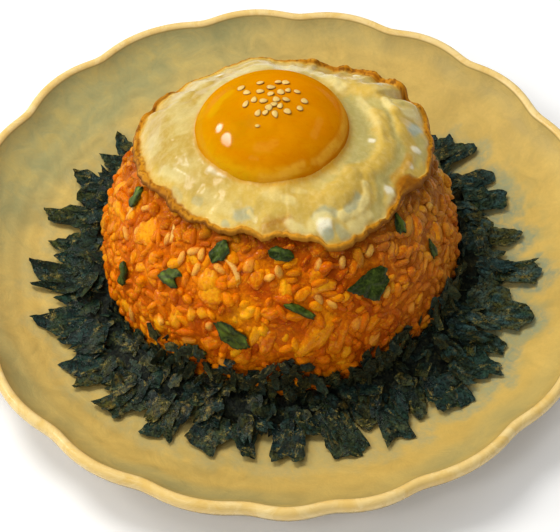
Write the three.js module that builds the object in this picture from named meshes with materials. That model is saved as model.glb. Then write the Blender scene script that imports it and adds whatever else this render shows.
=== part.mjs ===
// Kimchi fried rice on a plate: a bowl-moulded mound of rice, a fried egg draped over its top, a ring of
// shredded roasted seaweed round its foot, and the wide stoneware plate with a pinched rim that carries them.
// Millimetres, +Z up. Z = 0 is the plane that the plate's foot stands on, and the Z axis runs through the
// middle of the plate's outline.
import * as THREE from "three";

// ---------------------------------------------------------------- driving sizes, mm
const PLATE_R = 103.9; // rim radius, mean
const RIM_TOP = 21.4; // top of the rolled lip above the table
const LIP_T = 5.2; // thickness of the rolled lip
const FLOOR_Z = 5.6; // inside floor of the plate
const FLOOR_R = 61.0; // the floor is flat out to here
const FOOT_R_OUT = 62.0;
const FOOT_R_IN = 55.0;
const BASE_Z = 1.8; // underside of the plate inside the foot ring
const PINCH_DEPTH = 1.35; // how far the rim is pushed in and out by its flutes
const PINCH_LIFT = 0.45; // how far the flutes raise and lower the lip
// the hand-pinched dents of the rim, degrees round the plate: unevenly spaced, as made by thumb
const PINCHES = [10.7, 31.7, 50.0, 67.7, 86.7, 105.8, 129.0, 148.4, 169.3, 189.8, 209.6, 228.3, 246.5, 264.5, 277.9, 293.3, 313.4, 332.2, 351.1];

const MOUND_X = -0.5; // the mound stands a little off the plate's middle
const MOUND_Y = 0.8;
const MOUND_R = 57.6; // widest radius
const MOUND_WAIST = 14.0; // height of the widest part
const MOUND_TOP = 65.0;
const MOUND_FOOT_R = 50.0;
const MOUND_P = 2.15; // roundness of the shoulder
const MOUND_Q = 2.1;
const LUMP = 0.9; // unevenness of the packed rice

const EGG_R = 43.0; // fried egg white, mean radius about the mound's axis
const EGG_T = 2.6; // thickness under the yolk
const EGG_EDGE_T = 1.7; // thickness at the fried edge
// slow lobes of the white's outline: [lobes per turn, size, phase in degrees]
const EGG_LOBES = [[1, 5.79, -79], [2, 3.34, 13], [3, 2.42, -94], [4, 0.78, -151], [5, 1.24, -81], [8, 0.3, -175], [11, 0.35, 83], [13, 0.3, 113]];
const EGG_FLARE = 9.0; // the stiff edge stands off the mound at the back right
const EGG_FLARE_AT = 33;

const YOLK_X = -3.0;
const YOLK_Y = 4.2;
const YOLK_R = 23.6;
const YOLK_H = 10.6;

const WEED_R = 79.2; // ring of seaweed strips: mean outer radius
const WEED_SPIKE = 7.0; // how far the strips' ends reach past and fall short of it
const WEED_N = 37; // strips' ends round the ring
const WEED_H = 9.0; // height of the ring where it leans on the mound
const GAP = 0.4; // clearance between resting pieces

// ---------------------------------------------------------------- helpers
const rad = (d) => (d * Math.PI) / 180;
const clamp = (x, a, b) => Math.min(b, Math.max(a, x));
const mix = (a, b, t) => a + (b - a) * t;
const smooth = (a, b, x) => {
  const t = clamp((x - a) / (b - a), 0, 1);
  return t * t * (3 - 2 * t);
};
// a repeatable number from 0 to 1
const chance = (n) => {
  const s = Math.sin(n * 127.1 + 11.7) * 43758.5453;
  return s - Math.floor(s);
};

// A closed surface of rings: row(j) gives the function angle -> [x, y, z]. The first and last rows are single
// points on the axis (poles), unless loop is true, when the last row joins the first (a ring-shaped body).
function ringSurface(rows, turns, loop) {
  const pos = [];
  const idx = [];
  const at = [];
  rows.forEach((row, j) => {
    const pole = !loop && (j === 0 || j === rows.length - 1);
    at.push(pos.length / 3);
    const n = pole ? 1 : turns;
    for (let i = 0; i < n; i++) pos.push(...row((i / turns) * 2 * Math.PI));
  });
  const last = loop ? rows.length : rows.length - 1;
  for (let j = 0; j < last; j++) {
    const k = (j + 1) % rows.length;
    const a = at[j];
    const b = at[k];
    const poleA = !loop && j === 0;
    const poleB = !loop && j === rows.length - 2;
    for (let i = 0; i < turns; i++) {
      const i2 = (i + 1) % turns;
      if (poleA) idx.push(a, b + i, b + i2);
      else if (poleB) idx.push(a + i, b, a + i2);
      else idx.push(a + i, b + i, a + i2, a + i2, b + i, b + i2);
    }
  }
  const g = new THREE.BufferGeometry();
  g.setAttribute("position", new THREE.Float32BufferAttribute(pos, 3));
  g.setIndex(idx);
  g.computeVertexNormals();
  return g;
}

// ---------------------------------------------------------------- plate
// how far the rim is in (-1) or out (+1) at an angle: round bulges that meet in soft dents
function flutes(a) {
  const deg = ((a * 180) / Math.PI + 360) % 360;
  const n = PINCHES.length;
  for (let k = 0; k < n; k++) {
    const from = PINCHES[k];
    const to = k + 1 < n ? PINCHES[k + 1] : PINCHES[0] + 360;
    const d = deg < PINCHES[0] ? deg + 360 : deg;
    if (d >= from && d <= to) return 2 * Math.pow(Math.sin(Math.PI * ((d - from) / (to - from))), 0.75) - 1;
  }
  return 0;
}

// half section of the plate, from the middle of the floor over the lip to the middle of the underside:
// [radius, height]
const SECTION = [
  [0, FLOOR_Z],
  [FLOOR_R, FLOOR_Z],
  [73, 7.0],
  [84, 9.4],
  [92.5, 12.2],
  [97.2, 14.6],
  [99.4, 17.6],
  [101.2, 20.3],
  [103.2, RIM_TOP],
  [PLATE_R, 20.4],
  [PLATE_R + 0.5, 18.4],
  [PLATE_R - 0.2, RIM_TOP - LIP_T],
  [101.6, 13.4],
  [86, 6.0],
  [FOOT_R_OUT + 0.8, 2.4],
  [FOOT_R_OUT, 0],
  [FOOT_R_IN, 0],
  [FOOT_R_IN - 1.4, BASE_Z],
  [0, BASE_Z],
];

function plateGeometry(turns) {
  const rows = SECTION.map(([r, z], j) => (a) => {
    const w = smooth(80, 101, r);
    const f = flutes(a) * w;
    // the foot is turned on the wheel and stays true; the wall above it is a little uneven
    const drift = 0.35 * smooth(70, 104, r) * Math.sin(3 * a + 0.7);
    const rr = r + PINCH_DEPTH * f + drift;
    const zz = z + (j > 4 && j < 12 ? PINCH_LIFT * f : 0);
    return [rr * Math.cos(a), rr * Math.sin(a), zz];
  });
  return ringSurface(rows, turns, false);
}

// height of the plate's inside at a radius (the fluted lip lies outside the food)
function floorAt(r) {
  for (let j = 1; j < 7; j++) {
    const [r0, z0] = SECTION[j - 1];
    const [r1, z1] = SECTION[j];
    if (r <= r1) return mix(z0, z1, (r - r0) / (r1 - r0));
  }
  return SECTION[6][1];
}

// ---------------------------------------------------------------- rice mound
// smooth height of the mound at a radius from its own axis
function moundHeight(r) {
  const u = clamp(r / MOUND_R, 0, 1);
  return MOUND_WAIST + (MOUND_TOP - MOUND_WAIST) * Math.pow(Math.max(0, 1 - Math.pow(u, MOUND_P)), 1 / MOUND_Q);
}
// smooth radius of the mound below its widest part
function moundFootRadius(z) {
  const s = clamp((MOUND_WAIST - z) / (MOUND_WAIST - FLOOR_Z), 0, 1);
  return MOUND_FOOT_R + (MOUND_R - MOUND_FOOT_R) * Math.sqrt(1 - s * s);
}
// packed grains leave the side lumpy; the top, under the egg, is smooth
function lumps(a, z) {
  const w = 1 - smooth(44, 56, z);
  return LUMP * w * (0.45 * Math.sin(9 * a + 0.21 * z) + 0.35 * Math.sin(14 * a - 0.33 * z + 1.3) + 0.4 * Math.sin(5 * a + 0.37 * z + 4.0) - 0.1);
}

const MOUND_TURNS = 64;
const MOUND_UP = [0.17, 0.34, 0.5, 0.63, 0.74, 0.83, 0.905, 0.96, 0.99]; // radius shares of the shoulder rows
const MOUND_DOWN = [0, 0.3, 0.6, 0.85, 1.0]; // from the waist to the foot
function moundGeometry() {
  const foot = FLOOR_Z + GAP;
  const place = (r, a, z) => {
    const rr = r + lumps(a, z);
    return [MOUND_X + rr * Math.cos(a), MOUND_Y + rr * Math.sin(a), z];
  };
  const rows = [() => [MOUND_X, MOUND_Y, MOUND_TOP]];
  MOUND_UP.forEach((u) => rows.push((a) => place(u * MOUND_R, a, moundHeight(u * MOUND_R))));
  MOUND_DOWN.forEach((s) => {
    const z = mix(MOUND_WAIST, foot, s);
    rows.push((a) => place(moundFootRadius(z), a, z));
  });
  rows.push(() => [MOUND_X, MOUND_Y, foot]);
  return ringSurface(rows, MOUND_TURNS, false);
}

// ---------------------------------------------------------------- fried egg
function eggRadius(a) {
  return EGG_LOBES.reduce((r, [k, size, phase]) => r + size * Math.cos(k * a + rad(phase)), EGG_R);
}
// underside of the white: it lies on the mound, and its fried edge stands off a little at the back
function eggUnder(r, a) {
  const back = smooth(-0.2, 0.9, Math.sin(a));
  const turn = Math.cos(a - rad(EGG_FLARE_AT));
  const flare = EGG_FLARE * Math.pow(Math.max(0, turn), 3);
  return moundHeight(r) + GAP + smooth(26, 50, r) * (2.6 * back + flare) + 0.6 * smooth(20, 34, r);
}
function eggThickness(share, a) {
  const ring = 1.1 * Math.exp(-Math.pow((share - 0.66) / 0.16, 2)); // the white stands thicker round the yolk
  const ripple = 0.35 * Math.sin(7 * a + 2.1) * smooth(0.5, 0.85, share);
  return mix(EGG_T, EGG_EDGE_T, smooth(0.75, 1.0, share)) + ring + ripple;
}
function eggTop(x, y) {
  const dx = x - MOUND_X;
  const dy = y - MOUND_Y;
  const r = Math.hypot(dx, dy);
  const a = Math.atan2(dy, dx);
  return eggUnder(r, a) + eggThickness(clamp(r / eggRadius(a), 0, 1), a);
}

const EGG_TURNS = 64;
const EGG_SHARES = [0.3, 0.52, 0.7, 0.84, 0.94, 0.985];
function eggGeometry() {
  const put = (share, a, up) => {
    const r = share * eggRadius(a);
    const z = eggUnder(r, a) + up(share, a);
    return [MOUND_X + r * Math.cos(a), MOUND_Y + r * Math.sin(a), z];
  };
  const rows = [() => put(0, 0, eggThickness)];
  EGG_SHARES.forEach((s) => rows.push((a) => put(s, a, eggThickness)));
  rows.push((a) => put(1, a, () => 0.5 * EGG_EDGE_T)); // rounded fried edge
  [...EGG_SHARES].reverse().forEach((s) => rows.push((a) => put(s, a, () => 0)));
  rows.push(() => put(0, 0, () => 0));
  return ringSurface(rows, EGG_TURNS, false);
}

const YOLK_TURNS = 40;
const YOLK_ROWS = [0.25, 0.48, 0.68, 0.83, 0.93, 0.985]; // radius shares, top side
function yolkGeometry() {
  const put = (share, a, top) => {
    const x = YOLK_X + share * YOLK_R * Math.cos(a);
    const y = YOLK_Y + share * YOLK_R * Math.sin(a);
    const dome = YOLK_H * Math.pow(1 - Math.pow(share, 2.2), 0.52);
    return [x, y, eggTop(x, y) + GAP + (top ? dome : 0)];
  };
  const rows = [() => put(0, 0, true)];
  YOLK_ROWS.forEach((s) => rows.push((a) => put(s, a, true)));
  rows.push((a) => {
    const p = put(1, a, false);
    return [p[0], p[1], p[2] + 0.35];
  });
  [0.93, 0.68, 0.4].forEach((s) => rows.push((a) => put(s, a, false)));
  rows.push(() => put(0, 0, false));
  return ringSurface(rows, YOLK_TURNS, false);
}

// ---------------------------------------------------------------- seaweed ring
const WEED_TURNS = WEED_N * 3;
function weedGeometry() {
  const inner = (z, a) => moundFootRadius(z) + lumps(a, z) + GAP + 0.55;
  const outer = (a) => {
    // strips' ends: a sharp wave, each end of its own length
    const u = ((a / (2 * Math.PI)) * WEED_N + WEED_N) % WEED_N;
    const k = Math.round(u) % WEED_N;
    const near = 1 - Math.abs(u - Math.round(u)) * 2;
    const back = 4.6 * smooth(0.1, 0.8, Math.sin(a)); // shorter strips behind the mound
    return WEED_R - back - 0.75 * WEED_SPIKE + WEED_SPIKE * near * (1.25 + 0.75 * (chance(k) - 0.5));
  };
  const crown = (a) => WEED_H + 1.6 * Math.sin(6 * a + 0.8) + 1.3 * Math.sin(11 * a + 2.2);
  const low = FLOOR_Z + GAP;
  // rows are concentric about the mound near it and about the plate at the ends
  const put = (r, a, z) => [MOUND_X + r * Math.cos(a), MOUND_Y + r * Math.sin(a), z];
  const out = (share, up) => (a) => {
    const r0 = inner(low, a);
    const r = mix(r0, outer(a), share);
    const x = MOUND_X + r * Math.cos(a);
    const y = MOUND_Y + r * Math.sin(a);
    return [x, y, floorAt(Math.hypot(x, y)) + GAP + up(a)];
  };
  const rows = [
    (a) => put(inner(low, a), a, low),
    (a) => put(inner(low + 3, a), a, low + 3),
    (a) => put(inner(low + 0.75 * crown(a), a), a, low + 0.75 * crown(a)),
    out(0.42, (a) => 0.95 * crown(a)),
    out(0.66, (a) => 0.62 * crown(a)),
    out(0.86, (a) => 0.36 * crown(a)),
    out(1.0, () => 1.3),
    out(1.0, () => 0),
    out(0.72, () => 0),
    out(0.36, () => 0.15),
  ];
  return ringSurface(rows, WEED_TURNS, true);
}

// ---------------------------------------------------------------- assembly
const look = (color, roughness, extra = {}) => new THREE.MeshStandardMaterial({ color, roughness, metalness: 0, ...extra });
const group = new THREE.Group();
const add = (name, geometry, material) => {
  const mesh = new THREE.Mesh(geometry, material);
  mesh.name = name;
  group.add(mesh);
  return mesh;
};

const plate = add("plate", plateGeometry(PINCHES.length * 5), look(0xcfb67a, 0.35));
add("rice_mound", moundGeometry(), look(0xc8651a, 0.55));
add("seaweed", weedGeometry(), look(0x1c2a22, 0.5));
add("egg_white", eggGeometry(), look(0xefdfa6, 0.4));
add("egg_yolk", yolkGeometry(), look(0xe8960c, 0.2));

// the pinched rim is uneven, so the middle of its outline is brought to the Z axis
plate.geometry.computeBoundingBox();
const middle = plate.geometry.boundingBox.getCenter(new THREE.Vector3());
group.position.set(-middle.x, -middle.y, 0);

export default group;
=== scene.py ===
"""Kimchi fried rice under a fried egg, ringed with shredded seaweed, on its pinched stoneware plate.

Everything is built in millimetres about the plate's own middle and moved to the CAD frame (metres) when the
mesh is made. The food is mesh at true size: grains, kimchi, spring onion, sesame, seaweed shreds.
"""
import math

import bpy
import numpy as np
from mathutils import Matrix, Vector


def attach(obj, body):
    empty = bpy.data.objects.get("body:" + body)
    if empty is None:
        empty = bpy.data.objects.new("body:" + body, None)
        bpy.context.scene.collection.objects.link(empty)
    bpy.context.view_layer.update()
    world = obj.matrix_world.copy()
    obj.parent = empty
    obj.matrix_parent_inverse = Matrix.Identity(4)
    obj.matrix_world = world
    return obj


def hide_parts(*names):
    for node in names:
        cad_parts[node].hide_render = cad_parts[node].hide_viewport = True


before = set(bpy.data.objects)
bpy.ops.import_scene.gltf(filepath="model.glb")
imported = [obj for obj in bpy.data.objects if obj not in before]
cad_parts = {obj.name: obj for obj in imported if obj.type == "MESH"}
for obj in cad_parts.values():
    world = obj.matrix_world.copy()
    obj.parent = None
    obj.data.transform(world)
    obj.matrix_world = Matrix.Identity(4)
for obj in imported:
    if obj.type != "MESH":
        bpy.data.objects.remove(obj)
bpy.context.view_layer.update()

MM = 0.001
SHIFT = np.array([-0.25477, 0.31789, 0.0])  # the plate's outline is uneven: its middle is brought to the axis

# ------------------------------------------------------------------ sizes, mm, the same as the CAD's
PLATE_R, RIM_TOP, LIP_T, FLOOR_Z, FLOOR_R = 103.9, 21.4, 5.2, 5.6, 61.0
FOOT_OUT, FOOT_IN, BASE_Z = 62.0, 55.0, 1.8
PINCH_DEPTH, PINCH_LIFT = 1.35, 0.45
PINCHES = [10.7, 31.7, 50.0, 67.7, 86.7, 105.8, 129.0, 148.4, 169.3, 189.8, 209.6, 228.3, 246.5, 264.5, 277.9, 293.3, 313.4, 332.2, 351.1]
MX, MY, MR, WAIST, TOP, FOOT_R, MP, MQ = -0.5, 0.8, 57.6, 14.0, 65.0, 50.0, 2.15, 2.1
EGG_R, EGG_T, EGG_EDGE_T, GAP = 43.0, 2.6, 1.7, 0.4
EGG_LOBES = [(1, 5.79, -79), (2, 3.34, 13), (3, 2.42, -94), (4, 0.78, -151), (5, 1.24, -81), (8, 0.3, -175), (11, 0.35, 83), (13, 0.3, 113)]
EGG_FLARE, EGG_FLARE_AT = 9.0, 33
YX, YY, YR, YH = -3.0, 4.2, 23.6, 10.6


# ------------------------------------------------------------------ small maths
def smooth(a, b, x):
    t = np.clip((x - a) / (b - a), 0, 1)
    return t * t * (3 - 2 * t)


def mix(a, b, t):
    return a + (b - a) * t


def unit(v):
    v = np.asarray(v, float)
    return v / np.maximum(np.linalg.norm(v, axis=-1, keepdims=True), 1e-12)


def _hash(ix, iy, iz, seed):
    h = (ix * 73856093) ^ (iy * 19349663) ^ (iz * 83492791) ^ (seed * 2654435761 & 0x7FFFFFFF)
    h = (h ^ (h >> 13)) * 1274126177 & 0x7FFFFFFF
    h = (h ^ (h >> 16)) * 668265263 & 0x7FFFFFFF
    return (h & 0xFFFF) / 32767.5 - 1.0


def noise3(p, seed=0):
    """smooth value noise, -1 to 1, one lump per unit"""
    p = np.asarray(p, float)
    i = np.floor(p).astype(np.int64)
    f = p - i
    f = f * f * (3 - 2 * f)
    out = 0
    for dx in (0, 1):
        wx = f[..., 0] if dx else 1 - f[..., 0]
        for dy in (0, 1):
            wy = f[..., 1] if dy else 1 - f[..., 1]
            for dz in (0, 1):
                wz = f[..., 2] if dz else 1 - f[..., 2]
                out = out + wx * wy * wz * _hash(i[..., 0] + dx, i[..., 1] + dy, i[..., 2] + dz, seed)
    return out


def fbm(p, octaves=3, seed=0):
    p = np.asarray(p, float)
    out, amp, total = 0, 1.0, 0
    for k in range(octaves):
        out = out + amp * noise3(p * 2**k + 17.3 * k, seed + k)
        total += amp
        amp *= 0.5
    return out / total


def rgb(*c):
    """sRGB 0-255 to linear"""
    c = np.asarray(c, float) / 255
    return np.where(c <= 0.04045, c / 12.92, ((c + 0.055) / 1.055) ** 2.4)


# ------------------------------------------------------------------ shapes shared with the CAD
def flutes(a):
    deg = (np.degrees(a) + 360) % 360
    d = np.where(deg < PINCHES[0], deg + 360, deg)
    stops = np.array(PINCHES + [PINCHES[0] + 360])
    k = np.clip(np.searchsorted(stops, d, side="right") - 1, 0, len(PINCHES) - 1)
    u = (d - stops[k]) / (stops[k + 1] - stops[k])
    return 2 * np.power(np.clip(np.sin(np.pi * u), 0, 1), 0.75) - 1


def mound_height(r):
    u = np.clip(r / MR, 0, 1)
    return WAIST + (TOP - WAIST) * np.power(np.maximum(0, 1 - u**MP), 1 / MQ)


def foot_radius(z):
    s = np.clip((WAIST - z) / (WAIST - FLOOR_Z), 0, 1)
    return FOOT_R + (MR - FOOT_R) * np.sqrt(1 - s * s)


def mound_radius(z):
    """radius of the mound at a height"""
    t = np.clip((z - WAIST) / (TOP - WAIST), 0, 1)
    return np.where(z >= WAIST, MR * np.power(1 - t**MQ, 1 / MP), foot_radius(z))


def mound_normal(P):
    dx, dy, z = P[:, 0] - MX, P[:, 1] - MY, P[:, 2]
    r = np.maximum(np.hypot(dx, dy), 1e-6)
    nr = MP * np.power(np.maximum(r / MR, 1e-6), MP - 1) / MR
    nz = MQ * np.power(np.maximum((z - WAIST) / (TOP - WAIST), 1e-9), MQ - 1) / (TOP - WAIST)
    nr2 = 2 * np.maximum(r - FOOT_R, 0.2) / (MR - FOOT_R) ** 2
    nz2 = -2 * (WAIST - z) / (WAIST - FLOOR_Z) ** 2
    up = z >= WAIST
    a, b = np.where(up, nr, nr2), np.where(up, nz, nz2)
    return unit(np.stack([a * dx / r, a * dy / r, b], -1))


def mound_depth(P):
    """about how far a point is outside (+) or inside (-) the mound's skin"""
    dx, dy, z = P[:, 0] - MX, P[:, 1] - MY, P[:, 2]
    r = np.maximum(np.hypot(dx, dy), 1e-6)
    # radial distance from the mound's inner ball point along the ray through P
    w = np.maximum(z - WAIST, 0)
    d = np.hypot(r, w)
    c, s = r / d, w / d
    t = np.full_like(d, 55.0)
    for _ in range(6):
        g = (t * c / MR) ** MP + (t * s / (TOP - WAIST)) ** MQ - 1
        dg = MP * (t * c / MR) ** (MP - 1) * c / MR + MQ * np.power(np.maximum(t * s / (TOP - WAIST), 1e-9), MQ - 1) * s / (TOP - WAIST)
        t = t - g / np.maximum(dg, 1e-6)
    return np.where(z >= WAIST, d - t, r - foot_radius(z))


def egg_radius(a):
    r = EGG_R + 0 * a
    for k, size, phase in EGG_LOBES:
        r = r + size * np.cos(k * a + math.radians(phase))
    return r


def egg_under(r, a):
    back = smooth(-0.2, 0.9, np.sin(a))
    flare = EGG_FLARE * np.maximum(0, np.cos(a - math.radians(EGG_FLARE_AT))) ** 3
    return mound_height(r) + GAP + smooth(26, 50, r) * (2.6 * back + flare) + 0.6 * smooth(20, 34, r)


def egg_thickness(share, a):
    ring = 1.1 * np.exp(-(((share - 0.66) / 0.16) ** 2))
    ripple = 0.35 * np.sin(7 * a + 2.1) * smooth(0.5, 0.85, share)
    return mix(EGG_T, EGG_EDGE_T, smooth(0.75, 1.0, share)) + ring + ripple


def egg_top(x, y):
    dx, dy = x - MX, y - MY
    r, a = np.hypot(dx, dy), np.arctan2(dy, dx)
    return egg_under(r, a) + egg_thickness(np.clip(r / egg_radius(a), 0, 1), a)


# ------------------------------------------------------------------ mesh making
def add_mesh(name, verts, faces, mat, tint=None, values=None, sharp=None, flip=False):
    """verts in mm about the plate's middle; faces: list of (n, k) index arrays; tint: (n, 3) linear colours"""
    v = (np.asarray(verts, float) + SHIFT) * MM
    faces = [np.asarray(f, np.int64) for f in faces if len(f)]
    if flip:
        faces = [f[:, ::-1] for f in faces]
    me = bpy.data.meshes.new(name)
    me.vertices.add(len(v))
    me.vertices.foreach_set("co", v.astype(np.float32).ravel())
    me.loops.add(sum(f.size for f in faces))
    me.loops.foreach_set("vertex_index", np.concatenate([f.ravel() for f in faces]).astype(np.int32))
    sizes = np.concatenate([np.full(len(f), f.shape[1]) for f in faces])
    me.polygons.add(len(sizes))
    me.polygons.foreach_set("loop_start", (np.cumsum(sizes) - sizes).astype(np.int32))
    me.polygons.foreach_set("use_smooth", np.ones(len(sizes), bool))
    me.update(calc_edges=True)
    if tint is not None:
        at = me.color_attributes.new("tint", "FLOAT_COLOR", "POINT")
        c = np.ones((len(v), 4), np.float32)
        c[:, :3] = np.clip(tint, 0, 1)
        at.data.foreach_set("color", c.ravel())
    for key, val in (values or {}).items():
        at = me.attributes.new(key, "FLOAT", "POINT")
        at.data.foreach_set("value", np.asarray(val, np.float32))
    if sharp is not None:
        me.set_sharp_from_angle(angle=math.radians(sharp))
    me.materials.append(mat)
    ob = bpy.data.objects.new(name, me)
    bpy.context.scene.collection.objects.link(ob)
    return ob


def ring_faces(rows, turns, cap_first=False, cap_last=False, loop=False):
    """faces of rows x turns points; a capped end has one pole point before or after the grid"""
    off = 1 if cap_first else 0
    j, i = np.meshgrid(np.arange(rows if loop else rows - 1), np.arange(turns), indexing="ij")
    i2, j2 = (i + 1) % turns, (j + 1) % rows
    q = np.stack([j * turns + i, j2 * turns + i, j2 * turns + i2, j * turns + i2], -1).reshape(-1, 4) + off
    out = [q]
    k = np.arange(turns)
    if cap_first:
        out.append(np.stack([np.zeros(turns, int), off + k, off + (k + 1) % turns], -1))
    if cap_last:
        last = off + rows * turns
        out.append(np.stack([np.full(turns, last), off + (rows - 1) * turns + (k + 1) % turns, off + (rows - 1) * turns + k], -1))
    return out


def frames(n, along):
    """right-handed frames: columns along, across, normal"""
    n = unit(n)
    a = unit(along - (along * n).sum(-1, keepdims=True) * n)
    return np.stack([a, np.cross(n, a), n], -1)


def scatter(template, R, T):
    """template (k, v, 3) or (v, 3), R (n, 3, 3), T (n, 3) -> (n*v, 3)"""
    if template.ndim == 2:
        return (np.einsum("nij,vj->nvi", R, template) + T[:, None]).reshape(-1, 3)
    return (np.einsum("nij,nvj->nvi", R, template) + T[:, None]).reshape(-1, 3)


def tile(faces, count, nv):
    o = (np.arange(count) * nv)[:, None, None]
    return [(f[None] + o).reshape(-1, f.shape[1]) for f in faces]


# ------------------------------------------------------------------ node helpers
class Mat:
    def __init__(self, name):
        self.m = bpy.data.materials.new(name)
        self.m.use_nodes = True
        self.t = self.m.node_tree
        self.b = self.t.nodes["Principled BSDF"]
        self.co = self.new("ShaderNodeTexCoord").outputs["Object"]

    def new(self, kind, **props):
        n = self.t.nodes.new(kind)
        for k, v in props.items():
            setattr(n, k, v)
        return n

    def link(self, a, b):
        self.t.links.new(a, b)

    def put(self, socket, value):
        s = self.b.inputs[socket]
        if isinstance(value, bpy.types.NodeSocket):
            self.link(value, s)
        else:
            s.default_value = value

    def noise(self, size_mm, detail=3, rough=0.55, warp=0.0, coord=None, kind="FBM"):
        n = self.new("ShaderNodeTexNoise")
        n.inputs["Scale"].default_value = 1000.0 / size_mm
        n.inputs["Detail"].default_value = detail
        n.inputs["Roughness"].default_value = rough
        n.inputs["Distortion"].default_value = warp
        self.link(coord or self.co, n.inputs["Vector"])
        return n.outputs["Fac"]

    def stretch(self, x, y, z):
        n = self.new("ShaderNodeMapping")
        n.inputs["Scale"].default_value = (x, y, z)
        self.link(self.co, n.inputs["Vector"])
        return n.outputs["Vector"]

    def ramp(self, fac, stops, interp="LINEAR"):
        n = self.new("ShaderNodeValToRGB")
        n.color_ramp.interpolation = interp
        e = n.color_ramp.elements
        while len(e) < len(stops):
            e.new(0.5)
        for k, (p, c) in enumerate(stops):
            e[k].position = p
            if np.isscalar(c):
                c = (c, c, c)
            e[k].color = (*[float(x) for x in c], 1)
        self.link(fac, n.inputs["Fac"])
        return n.outputs["Color"]

    def map(self, fac, a, b, c, d):
        n = self.new("ShaderNodeMapRange")
        for k, v in zip(("From Min", "From Max", "To Min", "To Max"), (a, b, c, d)):
            n.inputs[k].default_value = v
        self.link(fac, n.inputs["Value"])
        return n.outputs["Result"]

    def mix(self, fac, a, b, mode="MIX"):
        n = self.new("ShaderNodeMix", data_type="RGBA", blend_type=mode)
        for sock, v in ((0, fac), (6, a), (7, b)):
            if isinstance(v, bpy.types.NodeSocket):
                self.link(v, n.inputs[sock])
            elif sock == 0:
                n.inputs[0].default_value = v
            else:
                v = (v, v, v) if np.isscalar(v) else v
                n.inputs[sock].default_value = (*[float(x) for x in v], 1)
        return n.outputs[2]

    def math(self, op, a, b=0.0):
        n = self.new("ShaderNodeMath", operation=op)
        for k, v in enumerate((a, b)):
            if isinstance(v, bpy.types.NodeSocket):
                self.link(v, n.inputs[k])
            else:
                n.inputs[k].default_value = v
        return n.outputs[0]

    def attr(self, name, out="Color"):
        n = self.new("ShaderNodeAttribute", attribute_type="GEOMETRY", attribute_name=name)
        return n.outputs[out]

    def color(self, c):
        if isinstance(c, bpy.types.NodeSocket):
            self.link(c, self.b.inputs["Base Color"])
        else:
            self.put("Base Color", (*[float(x) for x in c], 1))

    def rough(self, s):
        if isinstance(s, bpy.types.NodeSocket):
            self.link(s, self.b.inputs["Roughness"])
        else:
            self.put("Roughness", s)

    def bump(self, *layers):
        """layers of (height 0..1, depth in mm)"""
        last = None
        for h, depth in layers:
            n = self.new("ShaderNodeBump")
            n.inputs["Strength"].default_value = 1.0
            n.inputs["Distance"].default_value = depth * MM
            self.link(h, n.inputs["Height"])
            if last is not None:
                self.link(last, n.inputs["Normal"])
            last = n.outputs["Normal"]
        self.link(last, self.b.inputs["Normal"])

    def sss(self, weight, radius_mm, scale=1.0):
        self.put("Subsurface Weight", weight)
        self.put("Subsurface Radius", tuple(radius_mm))
        self.put("Subsurface Scale", scale * MM)


pieces = []  # (object, slot, replaced node or None)

# glaze colours, sRGB, and the painted shade in the lip's groove
PLATE = {
    "low": (198, 167, 88), "mid": (215, 181, 95), "high": (226, 191, 102), "warm": (232, 191, 94),
    "grey_low": (158, 158, 108), "grey_mid": (176, 169, 112), "grey_high": (194, 178, 108), "fleck": (158, 140, 74),
    "lip": (232, 194, 110), "lip_pale": (244, 216, 148), "outer": (176, 143, 60), "outer_dark": (146, 124, 64), "groove_shade": (156, 132, 68),
}

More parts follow.
